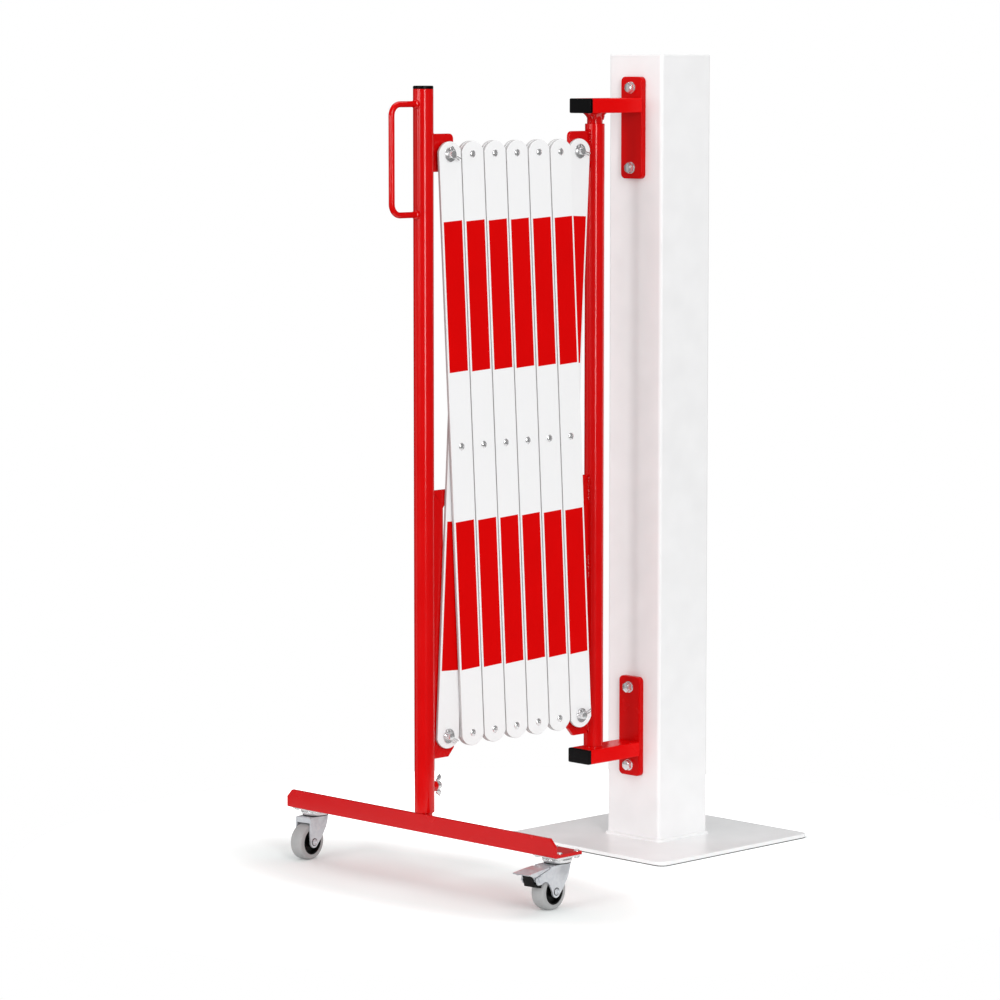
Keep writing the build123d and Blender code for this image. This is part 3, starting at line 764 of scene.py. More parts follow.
# --------------------------------------------------------------------------- pieces
class Skin:
    """Closed surfaces gathered into one mesh."""

    def __init__(self) -> None:
        """Start with nothing."""
        self._points: list[Array] = []
        self._faces: list[list[int]] = []
        self._maps: list[Array] = []
        self._count = 0

    def add(self, rings: Array, looped: bool = False, flat_map: Array | None = None) -> "Skin":
        """Join neighbouring rings with quads and close both ends, or join the last to the first.

        Args:
            rings: points of shape (rings, points, 3), in the frame.
            looped: whether the last ring joins the first.
            flat_map: two coordinates for each point, of shape (rings, points, 2).

        Returns:
            This skin, for a further call.
        """
        count, width = rings.shape[:2]
        index = np.arange(count * width).reshape(count, width) + self._count
        lower = index if looped else index[:-1]
        upper = np.roll(index, -1, axis=0) if looped else index[1:]
        quads = np.stack([lower, np.roll(lower, -1, axis=1), np.roll(upper, -1, axis=1), upper], -1)
        self._faces += quads.reshape(-1, 4).tolist()
        if not looped:
            self._faces += [index[0][::-1].tolist(), index[-1].tolist()]
        self._points.append(rings.reshape(-1, 3))
        if flat_map is not None:
            self._maps.append(flat_map.reshape(-1, 2))
        self._count += count * width
        return self

    def turn(
        self, seat: Seat, profile: Array | list, steps: int = LATHE_STEPS, looped: bool = False
    ) -> "Skin":
        """Add a part turned about its seat's third axis.

        Args:
            seat: where the part lies.
            profile: its (radius, height) pairs.
            steps: points of each ring.
            looped: whether the last ring joins the first.

        Returns:
            This skin, for a further call.
        """
        return self.add(seat.place(lathe(np.array(profile), steps)), looped)

    def plate(
        self, seat: Seat, outline: Array, low: float, high: float, edge: float,
        steps: int = 3, far_edge: float | None = None,
    ) -> "Skin":
        """Add a plate with rounded edges.

        Args:
            seat: where the plate lies; its outline is in the seat's first two axes.
            outline: the plate's outline.
            low: where its first face lies.
            high: where its second face lies.
            edge: radius of the first face's edge.
            steps: steps of each rounded edge.
            far_edge: radius of the second face's edge, if it differs.

        Returns:
            This skin, for a further call.
        """
        return self.add(seat.place(slab(outline, low, high, edge, steps, far_edge)))

    def build(self, name: str, finish: Finish, body: str, replaces: tuple[str, ...] = ()) -> None:
        """Make the piece and hang it on its body.

        Args:
            name: the piece's name.
            finish: its finish.
            body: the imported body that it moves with.
            replaces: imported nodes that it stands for.
        """
        mesh = bpy.data.meshes.new(name)
        mesh.from_pydata(np.concatenate(self._points).tolist(), [], self._faces)
        if self._maps:
            corner = np.empty(len(mesh.loops), np.int32)
            mesh.loops.foreach_get("vertex_index", corner)
            flat = mesh.uv_layers.new(name=LatticeBar.MAP)
            flat.data.foreach_set("uv", np.concatenate(self._maps)[corner].astype(np.float32).ravel())
        solid = bmesh.new()
        solid.from_mesh(mesh)
        bmesh.ops.recalc_face_normals(solid, faces=solid.faces)
        solid.to_mesh(mesh)
        solid.free()
        hang(mesh, name, finish, body, replaces)


def hang(
    mesh: bpy.types.Mesh, name: str, finish: Finish, body: str, replaces: tuple[str, ...]
) -> bpy.types.Object:
    """Turn a mesh into a piece that rides on a body.

    Args:
        mesh: the finished mesh, in the frame.
        name: the piece's name.
        finish: its finish.
        body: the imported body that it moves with.
        replaces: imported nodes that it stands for.

    Returns:
        The new object.
    """
    mesh.polygons.foreach_set("use_smooth", np.ones(len(mesh.polygons), bool))
    mesh.set_sharp_from_angle(angle=SHARP)
    mesh.materials.clear()
    mesh.materials.append(finish.material)
    piece = bpy.data.objects.new(name, mesh)
    bpy.context.scene.collection.objects.link(piece)
    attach(piece, body)
    if replaces:
        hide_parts(*replaces)
    LOG.info("%s: %d faces on %s", name, len(mesh.polygons), body)
    return piece


def eased(node: str, finish: Finish, edge: float) -> None:
    """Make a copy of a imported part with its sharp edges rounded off, which then stands for it.

    Args:
        node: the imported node.
        finish: its finish.
        edge: radius of the rounded edges.
    """
    source = frame["nodes"][node]
    mesh = source.data.copy()
    solid = bmesh.new()
    solid.from_mesh(mesh)
    bmesh.ops.remove_doubles(solid, verts=solid.verts, dist=MERGE_DISTANCE)
    bmesh.ops.dissolve_limit(solid, angle_limit=FLAT_ANGLE, verts=solid.verts, edges=solid.edges)
    solid.to_mesh(mesh)
    solid.free()
    piece = hang(mesh, f"{node}_eased", finish, source["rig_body"], (node,))
    bevel = piece.modifiers.new("rounded_edges", "BEVEL")
    bevel.width = edge
    bevel.segments = BEVEL_STEPS
    bevel.limit_method = "ANGLE"
    bevel.angle_limit = SHARP
    bevel.harden_normals = True


def coat_node(node: str, finish: Finish) -> None:
    """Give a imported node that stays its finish."""
    target = frame["nodes"][node]
    if not target.material_slots:
        target.data.materials.append(None)
    for slot in target.material_slots:
        slot.material = finish.material


class Level(Enum):
    """The two brackets of the fixed post."""

    UPPER = "upper"
    LOWER = "lower"


@dataclass(frozen=True)
class HexScrew:
    """Hexagon screw: its width across the flats, its head's height and its thread."""

    across: float
    head: float
    thread: float
    tip: float = 0.8 * MM

    def thread_profile(self, low: float, high: float) -> list[tuple[float, float]]:
        """Plain thread with a chamfered end at high."""
        cut = math.copysign(self.tip, high - low)
        return [(self.thread, low), (self.thread, high - cut), (self.thread - abs(cut), high)]


def ring(inner: float, outer: float, low: float, high: float) -> list[tuple[float, float]]:
    """Closed profile of a thin sharp-edged ring."""
    return [(inner, low), (outer, low), (outer, high), (inner, high)]


def washer(
    outer: float, inner: float, low: float, high: float, cut: float = 0.25 * MM
) -> list[tuple[float, float]]:
    """Closed profile of a washer or a round tube whose outer edges are broken by a cut."""
    return [
        (inner, low), (outer - cut, low), (outer, low + cut),
        (outer, high - cut), (outer - cut, high), (inner, high),
    ]


@dataclass
class FixedPost:
    """Square post on its plate, with two bolted brackets and the spigots of the pivot tube."""

    body: str = "fixed_post"
    plate_corner: float = 14 * MM
    plate_thickness: float = 6 * MM
    plate_edge: float = 0.8 * MM
    plate_under_edge: float = 1.6 * MM
    # Dark strip under the plate's lower edge: painted contact shade.
    painted_shade_inset: float = 0.15 * MM
    painted_shade_top: float = 1.1 * MM
    painted_shade_gap: float = 0.02 * MM
    cap_edges: tuple[float, float] = (0.2 * MM, 1.2 * MM)
    side: float = 100 * MM
    wall: float = 3 * MM
    corner: float = 5 * MM
    foot_bead: float = 3.2 * MM
    bracket_corner: float = 7 * MM
    bracket_edge: float = 1.8 * MM
    arm_corner: float = 2 * MM
    arm_wall: float = 2 * MM
    arm_weld_size: float = 5.6 * MM
    peg: float = 10.65 * MM
    flare_height: float = 7.5 * MM
    bolt: HexScrew = HexScrew(across=13 * MM, head=5.3 * MM, thread=4 * MM)
    bolt_spread: float = 55 * MM
    bolt_washer: tuple[float, float] = (8 * MM, 1.6 * MM)

    def dress(self) -> None:
        """Make every piece of the post."""
        self.base_plate()
        self.foot_weld()
        self.tube()
        self.cap()
        for level in Level:
            self.bracket_plate(level)
            self.bracket_arm(level)
            self.arm_cap(level)
        self.spigots()
        self.bolts()
        coat_node("post_rivet_nuts", BRIGHT_ZINC)

    def base_plate(self) -> None:
        """Flat plate with softly broken edges, and a dark strip under its lower edge that paints the contact
        shade there.
        """
        side = Span.of("base_plate").size[0]
        outline = rounded_rectangle(side, side, self.plate_corner)
        seat, under = Seat.facing(Facing.Z), self.plate_under_edge
        skin = Skin().plate(seat, outline, 0.0, self.plate_thickness, under, far_edge=self.plate_edge)
        skin.build("base_plate_steel", WHITE_COAT, self.body, ("base_plate",))
        # A thin black strip just inside the lower edge paints the contact shade between plate and floor.
        inset = drawn_in(outline, self.painted_shade_inset)
        skin = Skin().plate(seat, inset, self.painted_shade_gap, self.painted_shade_top, self.painted_shade_gap)
        skin.build("base_plate_seal", BLACK_CORE_AND_SHADE, self.body)

    def foot_weld(self) -> None:
        """Coated fillet weld round the post's foot.

        The bead's radius is r * (1 + a sine along the run + smooth noise), carried round the post.
        """
        away, spacing, ripples, knots, swell = 0.8 * MM, 1.2 * MM, 96, 61, 0.05
        reach = self.side + 2 * away
        path = divided(rounded_rectangle(reach, reach, self.corner + away, 8), spacing)
        count = len(path)
        wave = np.sin(FULL_TURN * np.arange(count) / count * ripples)
        radius = self.foot_bead * (1 + swell * wave + swell * drifts(5, 1, knots, count)[0])
        seat = Seat.facing(Facing.Z, (0, 0, self.plate_thickness + 0.6 * MM))
        rings = seat.place(pipe(path, radius, 14, looped=True))
        Skin().add(rings, looped=True).build("post_foot_weld", WHITE_COAT, self.body)

    def tube(self) -> None:
        """Hollow square tube."""
        low, high = Span.of("post_tube").low[2], Span.of("post_tube").high[2]
        inner_side = self.side - 2 * self.wall
        outer = rounded_rectangle(self.side, self.side, self.corner, 8)
        inner = rounded_rectangle(inner_side, inner_side, self.corner - self.wall, 8)
        skin = Skin().add(hollow(outer, inner, low, high), looped=True)
        skin.build("post_tube_steel", WHITE_COAT, self.body, ("post_tube",))

    def cap(self) -> None:
        """Welded top plate with a rounded upper edge."""
        span = Span.of("post_cap")
        outline = rounded_rectangle(self.side, self.side, self.corner, 8)
        under, upper = self.cap_edges
        skin = Skin().plate(Seat.facing(Facing.Z), outline, span.low[2], span.high[2], under, far_edge=upper)
        skin.build("post_cap_plate", WHITE_COAT, self.body, ("post_cap",))

    def bracket_plate(self, level: Level) -> None:
        """Flat plate with rounded corners, and a softly rounded edge on its outer face."""
        node = f"{level.value}_bracket_plate"
        span = Span.of(node)
        outline = rounded_rectangle(span.size[1], span.size[2], self.bracket_corner, 8)
        seat = Seat.facing(Facing.X, (0, 0, span.centre[2]))
        skin = Skin().plate(seat, outline, span.low[0], span.high[0], self.bracket_edge, 5, 0.3 * MM)
        # The plate takes the darker copy of the red coat: painted shade.
        skin.build(f"{node}_steel", SHADED_PLATE_COAT, self.body, (node,))

    def bracket_arm(self, level: Level) -> None:
        """Rectangular tube with its weld to the plate."""
        node = f"{level.value}_bracket_arm"
        plate, end = Span.of(f"{level.value}_bracket_plate"), Span.of(f"{level.value}_arm_cap")
        width = Span.of(node).size[1]
        height = end.size[2]
        start, stop = Span.of(node).low[0], plate.low[0]
        seat = Seat.facing(Facing.X, (0, 0, end.centre[2]))
        wall = 2 * self.arm_wall
        outer = rounded_rectangle(width, height, self.arm_corner)
        inner = rounded_rectangle(width - wall, height - wall, self.arm_corner / 2)
        skin = Skin().add(seat.place(hollow(outer, inner, start, stop)), looped=True)
        # The arm takes the lighter copy of the red coat: painted light.
        skin.build(f"{node}_steel", LIT_ARM_COAT, self.body, (node,))
        self.arm_weld(level, seat, width, height, stop)

    def arm_weld(self, level: Level, seat: Seat, width: float, height: float, face: float) -> None:
        """Full weld all round the arm where it meets the plate.

        At a distance d from the plate it stands s * (1 - d / s) ** 1.3 out of the arm, but never
        past the plate's two upright edges.
        """
        size, inside, proud, sunk, margin = self.arm_weld_size, 0.6 * MM, 0.15 * MM, 0.4 * MM, 0.05 * MM
        share = np.linspace(0, 1, 9)
        arm = rounded_rectangle(width - 2 * inside, height - 2 * inside, self.arm_corner, 6)
        limit = width / 2 - margin
        rings = []
        for away, out in zip(size * share, size * (1 - share) ** 1.3 + proud):
            ring = drawn_in(arm, -(out + inside))
            ring[:, 0] = np.clip(ring[:, 0], -limit, limit)
            rings.append(raised(ring, face + sunk - away))
        # The weld takes the arm's lighter copy of the red coat: painted light.
        Skin().add(seat.place(np.stack(rings))).build(f"{level.value}_arm_weld", LIT_ARM_COAT, self.body)

    def arm_cap(self, level: Level) -> None:
        """Plastic end cap: a flange that covers the tube's end, and a plug inside it."""
        node = f"{level.value}_arm_cap"
        span = Span.of(node)
        flange = Span.of(f"{level.value}_bracket_arm").low[0]
        seat = Seat.facing(Facing.X, (0, 0, span.centre[2]))
        outline = rounded_rectangle(span.size[1], span.size[2], self.arm_corner, 6)
        skin = Skin().plate(seat, outline, span.low[0], flange, 1.1 * MM, 4, 0.3 * MM)
        play = 0.2 * MM
        wall = 2 * (self.arm_wall + play)
        plug = rounded_rectangle(span.size[1] - wall, span.size[2] - wall, 0.8 * MM)
        skin.plate(seat, plug, flange, span.high[0], 0.1 * MM, 1)
        skin.build(f"{node}_moulding", BLACK_PLASTIC, self.body, (node,))

    def spigots(self) -> None:
        """Upper peg with its flared rough weld, and lower peg on its collar.

        At a share s of its height the flare's radius is peg + (flare - peg) * s ** 1.5, and smooth
        noise makes it uneven.
        """
        upper, lower = Span.of("upper_spigot"), Span.of("lower_spigot")
        peg, flare, cut, uneven = self.peg, upper.size[0] / 2, 1.5 * MM, 0.020
        share = np.linspace(0, 1, 12)
        top = upper.high[2]
        rise = np.column_stack([peg + (flare - peg) * share ** 1.5, top - self.flare_height * (1 - share)])
        profile = np.vstack([[(peg - cut, upper.low[2]), (peg, upper.low[2] + cut)], rise])
        seat = Seat.facing(Facing.Z, (upper.centre[0], 0, 0))
        rings = lathe(profile)
        rough = np.random.default_rng(8).normal(0, 1, (rings.shape[1],))
        rough = np.stack([np.roll(rough, turn) for turn in (0, 1, 2)]).mean(0)
        rings[2:, :, :2] *= 1 - uneven * np.abs(rough)[None, :, None] * np.sin(math.pi * share)[:, None, None]
        skin = Skin().add(seat.place(rings))
        runs = ((-82, 1.0 * MM), (-66, 6.0 * MM), (-44, 2.5 * MM), (60, 4.0 * MM), (150, 2.0 * MM))
        for seed, (azimuth, rise_from) in enumerate(runs, 41):
            skin.add(self.spigot_bead(azimuth, rise_from, top, seed))
        skin.build("upper_spigot_steel", WELD_COAT, self.body, ("upper_spigot",))
        base, collar, radius, rim = lower.low[2], 2 * MM, lower.size[0] / 2, 0.3 * MM
        stack = [
            (radius, base), (radius, base + collar - rim), (radius - rim, base + collar),
            (peg, base + collar), (peg, lower.high[2] - cut), (peg - cut, lower.high[2]),
        ]
        skin = Skin().turn(seat, stack)
        skin.build("lower_spigot_steel", RED_COAT, self.body, ("lower_spigot",))

    def spigot_bead(self, azimuth: float, rise_from: float, top: float, seed: int) -> Array:
        """One leaning bead of the upper spigot's weld.

        Args:
            azimuth: its side of the spigot, in degrees from -Y towards +X.
            rise_from: height of its foot above the pivot tube.
            top: height of the arm's underside.
            seed: seed of its noise.

        Returns:
            Rings of the bead, in the frame.
        """
        sunk, leaning, radius, ripple = 0.2 * MM, 2.6 * MM, 1.7 * MM, 1.6 * MM
        angle = math.radians(azimuth)
        out = np.array((math.sin(angle), -math.cos(angle), 0.0))
        x, foot = Span.of("upper_spigot").centre[0], Span.of("pivot_tube").high[2] + rise_from
        start = np.array((x, 0, foot)) + out * (self.peg - sunk)
        stop = np.array((x, 0, top - 1 * MM)) + out * (self.peg + leaning)
        return bead(start, stop, radius, seed, ripple)

    def bolts(self) -> None:
        """Four hexagon bolts, each on its washer."""
        skin = Skin()
        face = Span.of("upper_bracket_plate").low[0]
        inside = Span.of("bracket_bolts").high[0]
        outer, thickness = self.bolt_washer
        under = face - thickness
        for level in Level:
            span = Span.of(f"{level.value}_bracket_plate")
            for up in (1, -1):
                seat = Seat.facing(Facing.X, (0, 0, span.centre[2] + up * self.bolt_spread))
                skin.turn(seat, washer(outer, self.bolt.thread, under, face), looped=True)
                head = hexagon(self.bolt.across, -under, -under + self.bolt.head, (False, True))
                skin.add(seat.place(head * (1, 1, -1)))
                skin.turn(seat, self.bolt.thread_profile(under, inside), 32)
        skin.build("bracket_bolts_zinc", BRIGHT_ZINC, self.body, ("bracket_bolts",))


@dataclass
class PivotPin:
    """Headed pin through a tube's plate and one bar, held by a washer and a split pin.

    The split pin's eye and its bent legs leave the pin at their own angles, in degrees above +X.
    """

    node: str
    body: str
    eye_angle: float
    leg_angle: float
    radius: float = 5 * MM
    plate_half: float = 2.5 * MM
    wire: float = 0.95 * MM
    eye: float = 3.2 * MM
    head_radius: float = 8 * MM
    washers: tuple[float, float] = (10 * MM, 9 * MM)
    washer_thickness: float = 1.6 * MM
    split_gap: float = 2.4 * MM
    end: float = 3.6 * MM

    def dress(self, place: Array, bar: Span, gap: float) -> None:
        """Make the pin with its washers and its split pin.

        Args:
            place: the pin's axis, at any y.
            bar: box of the bar that the pin carries.
            gap: clearance between the plate and the parts that slide on it.
        """
        seat = Seat.facing(Facing.Y, (place[0], 0, place[2]))
        head, layer = self.plate_half + gap, bar.low[1]
        near = layer - self.washer_thickness
        split_y = near - self.split_gap
        tip = millimetres((-1.2, 0), (-0.35, 0.3), (0, 1.1)) + (self.radius, split_y - self.end)
        cap = millimetres((0, 0), (0, 2.0), (-1, 3.0)) + (self.head_radius, head)
        skin = Skin().turn(seat, np.vstack([tip, [(self.radius, head)], cap]))
        skin.turn(seat, washer(self.washers[0], self.radius, near, layer), looped=True)
        skin.turn(seat, washer(self.washers[1], self.radius, bar.high[1], -head), looped=True)
        skin.add(self.split_pin(place, split_y))
        skin.build(f"{self.node}_set", BRIGHT_ZINC, self.body, (self.node,))

    def split_pin(self, place: Array, y: float) -> Array:
        """One bent wire: a leg, the straight through the pin, the round eye, and back to the other leg.

        Args:
            place: the pin's axis.
            y: depth of the wire's plane.

        Returns:
            Rings of the wire, in the frame.
        """
        half = 0.98 * self.wire
        opening = math.asin(half / self.eye)
        eye = arc((-6.9 * MM, 0.0), self.eye, opening, FULL_TURN - opening, 28)
        inside = np.array([(5.4 * MM, half), (1.5 * MM, half)])
        upper = np.vstack([millimetres((16.5, 2.0), (10, 1.4)), inside])
        lower = np.vstack([inside[::-1] * (1, -1), millimetres((10, -1.2), (14.5, -1.5))])
        legs, back = math.radians(self.leg_angle), math.radians(self.eye_angle) - math.pi
        path = np.vstack([turned(upper, legs), turned(eye, back), turned(lower, legs)])
        return Seat.facing(Facing.Y, (place[0], y, place[2])).place(pipe(path, self.wire, 10))


@dataclass
class PinTube:
    """Round tube with a pin lug above and a slotted plate below, as both ends of the lattice have."""

    name: str
    body: str
    towards: int
    radius: float = 13.45 * MM
    bore: float = 10.75 * MM
    plate_half: float = 2.5 * MM
    lug_corner: float = 7 * MM
    chamfer: tuple[float, float] = (10.5 * MM, 11.5 * MM)
    slot_half: float = 5.3 * MM
    slot_offset: float = 37 * MM
    slot_margin: tuple[float, float] = (28.6 * MM, 25.8 * MM)
    edge: float = 0.6 * MM
    sunk: float = 1.5 * MM
    lug_weld: float = 2.4 * MM
    plate_weld: float = 1.5 * MM
    stitch: float = 34 * MM

    @property
    def x(self) -> float:
        """Place of the tube's axis along X."""
        return Span.of(self.name).centre[0]

    def reach(self, span: Span) -> tuple[float, float]:
        """X of a plate's root, a little inside the tube, and of its free edge."""
        root = self.x + self.towards * (self.radius - self.sunk)
        return root, float(span.low[0] if self.towards < 0 else span.high[0])

    def dress(self) -> None:
        """Make the tube, its two plates and their welds."""
        self.tube()
        self.lug()
        self.slot_plate()
        self.welds()

    def tube(self) -> None:
        """Tube wall with softly broken ends: the outer side goes up and the bore comes down."""
        span = Span.of(self.name)
        profile = washer(self.radius, self.bore, span.low[2], span.high[2], self.edge)
        skin = Skin().turn(Seat.facing(Facing.Z, (self.x, 0, 0)), profile, 96, looped=True)
        skin.build(f"{self.name}_steel", RED_COAT, self.body, (self.name,))

    def lug(self) -> None:
        """Flat lug with one rounded upper and one rounded lower corner."""
        node = f"{self.name}_lug"
        span = Span.of(node)
        root, tip = self.reach(span)
        low, high = span.low[2], span.high[2]
        corners = [(root, low), (tip, low), (tip, high), (root, high)]
        outline = rounded(corners, [0.5 * MM, self.lug_corner, self.lug_corner, 0.5 * MM], 8)
        skin = Skin().plate(Seat.facing(Facing.Y), outline, -self.plate_half, self.plate_half, self.edge)
        skin.build(f"{node}_steel", RED_COAT, self.body, (node,))

    def slot_plate(self) -> None:
        """Slotted plate: each point of its outline is joined to the nearest point of the slot's edge.

        The slot is the set of points at one distance from an upright segment, so its nearest point
        lies on the line to the nearest point of that segment.
        """
        node = f"{self.name}_slot_plate"
        span = Span.of(node)
        root, tip = self.reach(span)
        low, high = span.low[2], span.high[2]
        across, up = self.chamfer
        corners = [
            (root, low), (tip - self.towards * across, low), (tip, low + up), (tip, high), (root, high),
        ]
        radii = [0.5 * MM, 0.8 * MM, 0.8 * MM, self.lug_corner, 0.5 * MM]
        outline = divided(rounded(corners, radii, 6), 2.5 * MM)
        middle = self.x + self.towards * self.slot_offset
        bottom, top = low + self.slot_margin[0], high - self.slot_margin[1]
        spine = np.column_stack([np.full(len(outline), middle), np.clip(outline[:, 1], bottom, top)])
        slot = spine + unit(outline - spine) * self.slot_half
        outside = slab(outline, -self.plate_half, self.plate_half, self.edge)
        inside = slab(slot, -self.plate_half, self.plate_half, -self.edge / 2)
        rings = Seat.facing(Facing.Y).place(np.vstack([outside, inside[::-1]]))
        Skin().add(rings, looped=True).build(f"{node}_steel", RED_COAT, self.body, (node,))

    def welds(self) -> None:
        """Rippled beads in the corners between the tube and both plates."""
        skin = Skin()
        lug, plate = Span.of(f"{self.name}_lug"), Span.of(f"{self.name}_slot_plate")
        margin, ripple, rough, stitches = 2 * MM, 1.9 * MM, 0.2, 4
        root = self.x + self.towards * (math.sqrt(self.radius ** 2 - self.plate_half ** 2) + 0.2 * MM)
        runs = [(lug.low[2] + 1 * MM, lug.high[2] + 3 * MM, self.lug_weld)]
        for start in np.linspace(plate.low[2] + margin, plate.high[2] - self.stitch - margin, stitches):
            runs.append((start, start + self.stitch, self.plate_weld))
        seed = 11 if self.towards > 0 else 29
        for side in (1, -1):
            y = side * (self.plate_half + 0.1 * MM)
            for low, high, radius in runs:
                seed += 1
                start, stop = np.array((root, y, low)), np.array((root, y, high))
                skin.add(bead(start, stop, radius, seed, ripple, rough))
        skin.build(f"{self.name}_welds", WELD_COAT, self.body)


@dataclass
class LatticeBar:
    """Flat steel bar with round ends and two bands of film."""

    MAP = "along_bar"

    node: str
    lean: float
    middle: Array
    width: float = 40 * MM
    length: float = 810 * MM
    end_radius: float = 22 * MM
    edge: float = 0.9 * MM

    def dress(self) -> None:
        """Make the bar.

        Its outline has two straight sides and two end arcs, is carried through the bar's
        thickness, and is then tilted by its lean about Y.
        """
        span = Span.of(self.node)
        reach = self.length / 2 - self.end_radius
        open_angle = math.acos(self.width / 2 / self.end_radius)
        top = arc((0, reach), self.end_radius, open_angle, math.pi - open_angle, 24)
        side = top[0] - (0, GUARD)
        outline = np.vstack([side, top, side * (-1, 1), side * (-1, -1), -top, side * (1, -1)])
        rings = slab(outline, span.low[1], span.high[1], self.edge, 4)
        across = (math.cos(self.lean), 0, -math.sin(self.lean))
        along = (math.sin(self.lean), 0, math.cos(self.lean))
        seat = Seat(np.array((self.middle[0], 0, self.middle[2])), np.array([across, along, (0, 1, 0)]))
        skin = Skin().add(seat.place(rings), flat_map=rings[..., :2])
        skin.build(f"{self.node}_coated", STRIPED_BAR, self.node, (self.node,))


@dataclass
class Lattice:
    """Six crossed pairs of bars with their rivets and the pins at both ends."""

    pairs: int = 6
    shank: float = 3 * MM
    spacer: float = 6.5 * MM
    head: float = 5.2 * MM
    head_height: float = 2.4 * MM
    dimple: float = 1.7 * MM
    slide_gap: float = 0.3 * MM

    def __post_init__(self) -> None:
        """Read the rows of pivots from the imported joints."""
        self.top = float(joint_place("barrier_extend")[2])
        self.bottom = float(joint_place("bottom_pivot_1")[2])
        self.middles = [joint_place(f"middle_pivot_{index + 1}") for index in range(self.pairs)]
        self.pitch = float(self.middles[1][0] - self.middles[0][0])

    def column(self, index: int) -> float:
        """X of one column of pivots, counted from the rolling post."""
        return float(self.middles[0][0]) + (index - 0.5) * self.pitch

    def dress(self) -> None:
        """Make all bars, rivets and pins: a slot pin rides on its bar, a top pin on its post."""
        lean = math.atan2(self.pitch, self.top - self.bottom)
        for index, middle in enumerate(self.middles):
            LatticeBar(f"front_bar_{index + 1}", -lean, middle).dress()
            LatticeBar(f"rear_bar_{index + 1}", lean, middle).dress()
            self.rivets(index)
        first, last = self.column(0), self.column(self.pairs)
        pins = (
            (PivotPin("rolling_slot_pin", "rear_bar_1", 115, -36), first, "rear_bar_1"),
            (PivotPin("pivot_slot_pin", "front_bar_6", 128, 20), last, "front_bar_6"),
            (PivotPin("rolling_top_pin", "rolling_post", 96, -27), first, "front_bar_1"),
            (PivotPin("pivot_top_pin", "pivot_post", 116, -18), last, "rear_bar_6"),
        )
        for pin, x, bar in pins:
            height, gap = (self.bottom, self.slide_gap) if pin.body == bar else (self.top, 0.0)
            pin.dress(np.array((x, 0, height)), Span.of(bar), gap)

    def rivet_profile(self, front: Span, rear: Span) -> Array:
        """Profile of one rivet: dimpled dome, shank, spacer between the layers, shank and dome.

        A dome of base radius b and height h is part of a circle of radius (b * b + h * h) / (2 * h).
        """
        ball = (self.head ** 2 + self.head_height ** 2) / (2 * self.head_height)
        angle = np.linspace(math.asin(self.dimple / ball), math.asin(self.head / ball), 9)
        out = ball * np.cos(angle) - (ball - self.head_height)
        dimple = millimetres((0.7, -0.8), (1.35, -0.7), (1.5, -0.1)) + (0, out[0])
        crown = np.vstack([dimple, np.column_stack([ball * np.sin(angle), out])])
        near = np.column_stack([crown[:, 0], front.low[1] - crown[:, 1]])
        far = np.column_stack([crown[::-1, 0], rear.high[1] + crown[::-1, 1]])
        gap = [
            (self.shank, front.low[1]), (self.shank, front.high[1]), (self.spacer, front.high[1]),
            (self.spacer, rear.low[1]), (self.shank, rear.low[1]), (self.shank, rear.high[1]),
        ]
        return np.vstack([near, gap, far])

    def rivets(self, index: int) -> None:
        """Rivets that ride on one front bar."""
        places = [(self.column(index + 0.5), self.middles[index][2])]
        if index > 0:
            places.append((self.column(index), self.top))
        if index < self.pairs - 1:
            places.append((self.column(index + 1), self.bottom))
        body = f"front_bar_{index + 1}"
        profile = self.rivet_profile(Span.of(body), Span.of(f"rear_bar_{index + 1}"))
        skin = Skin()
        for x, z in places:
            skin.turn(Seat.facing(Facing.Y, (x, 0, z)), profile, 40)
        node = f"bar_rivets_{index + 1}"
        skin.build(f"{node}_zinc", BRIGHT_ZINC, body, (node,))


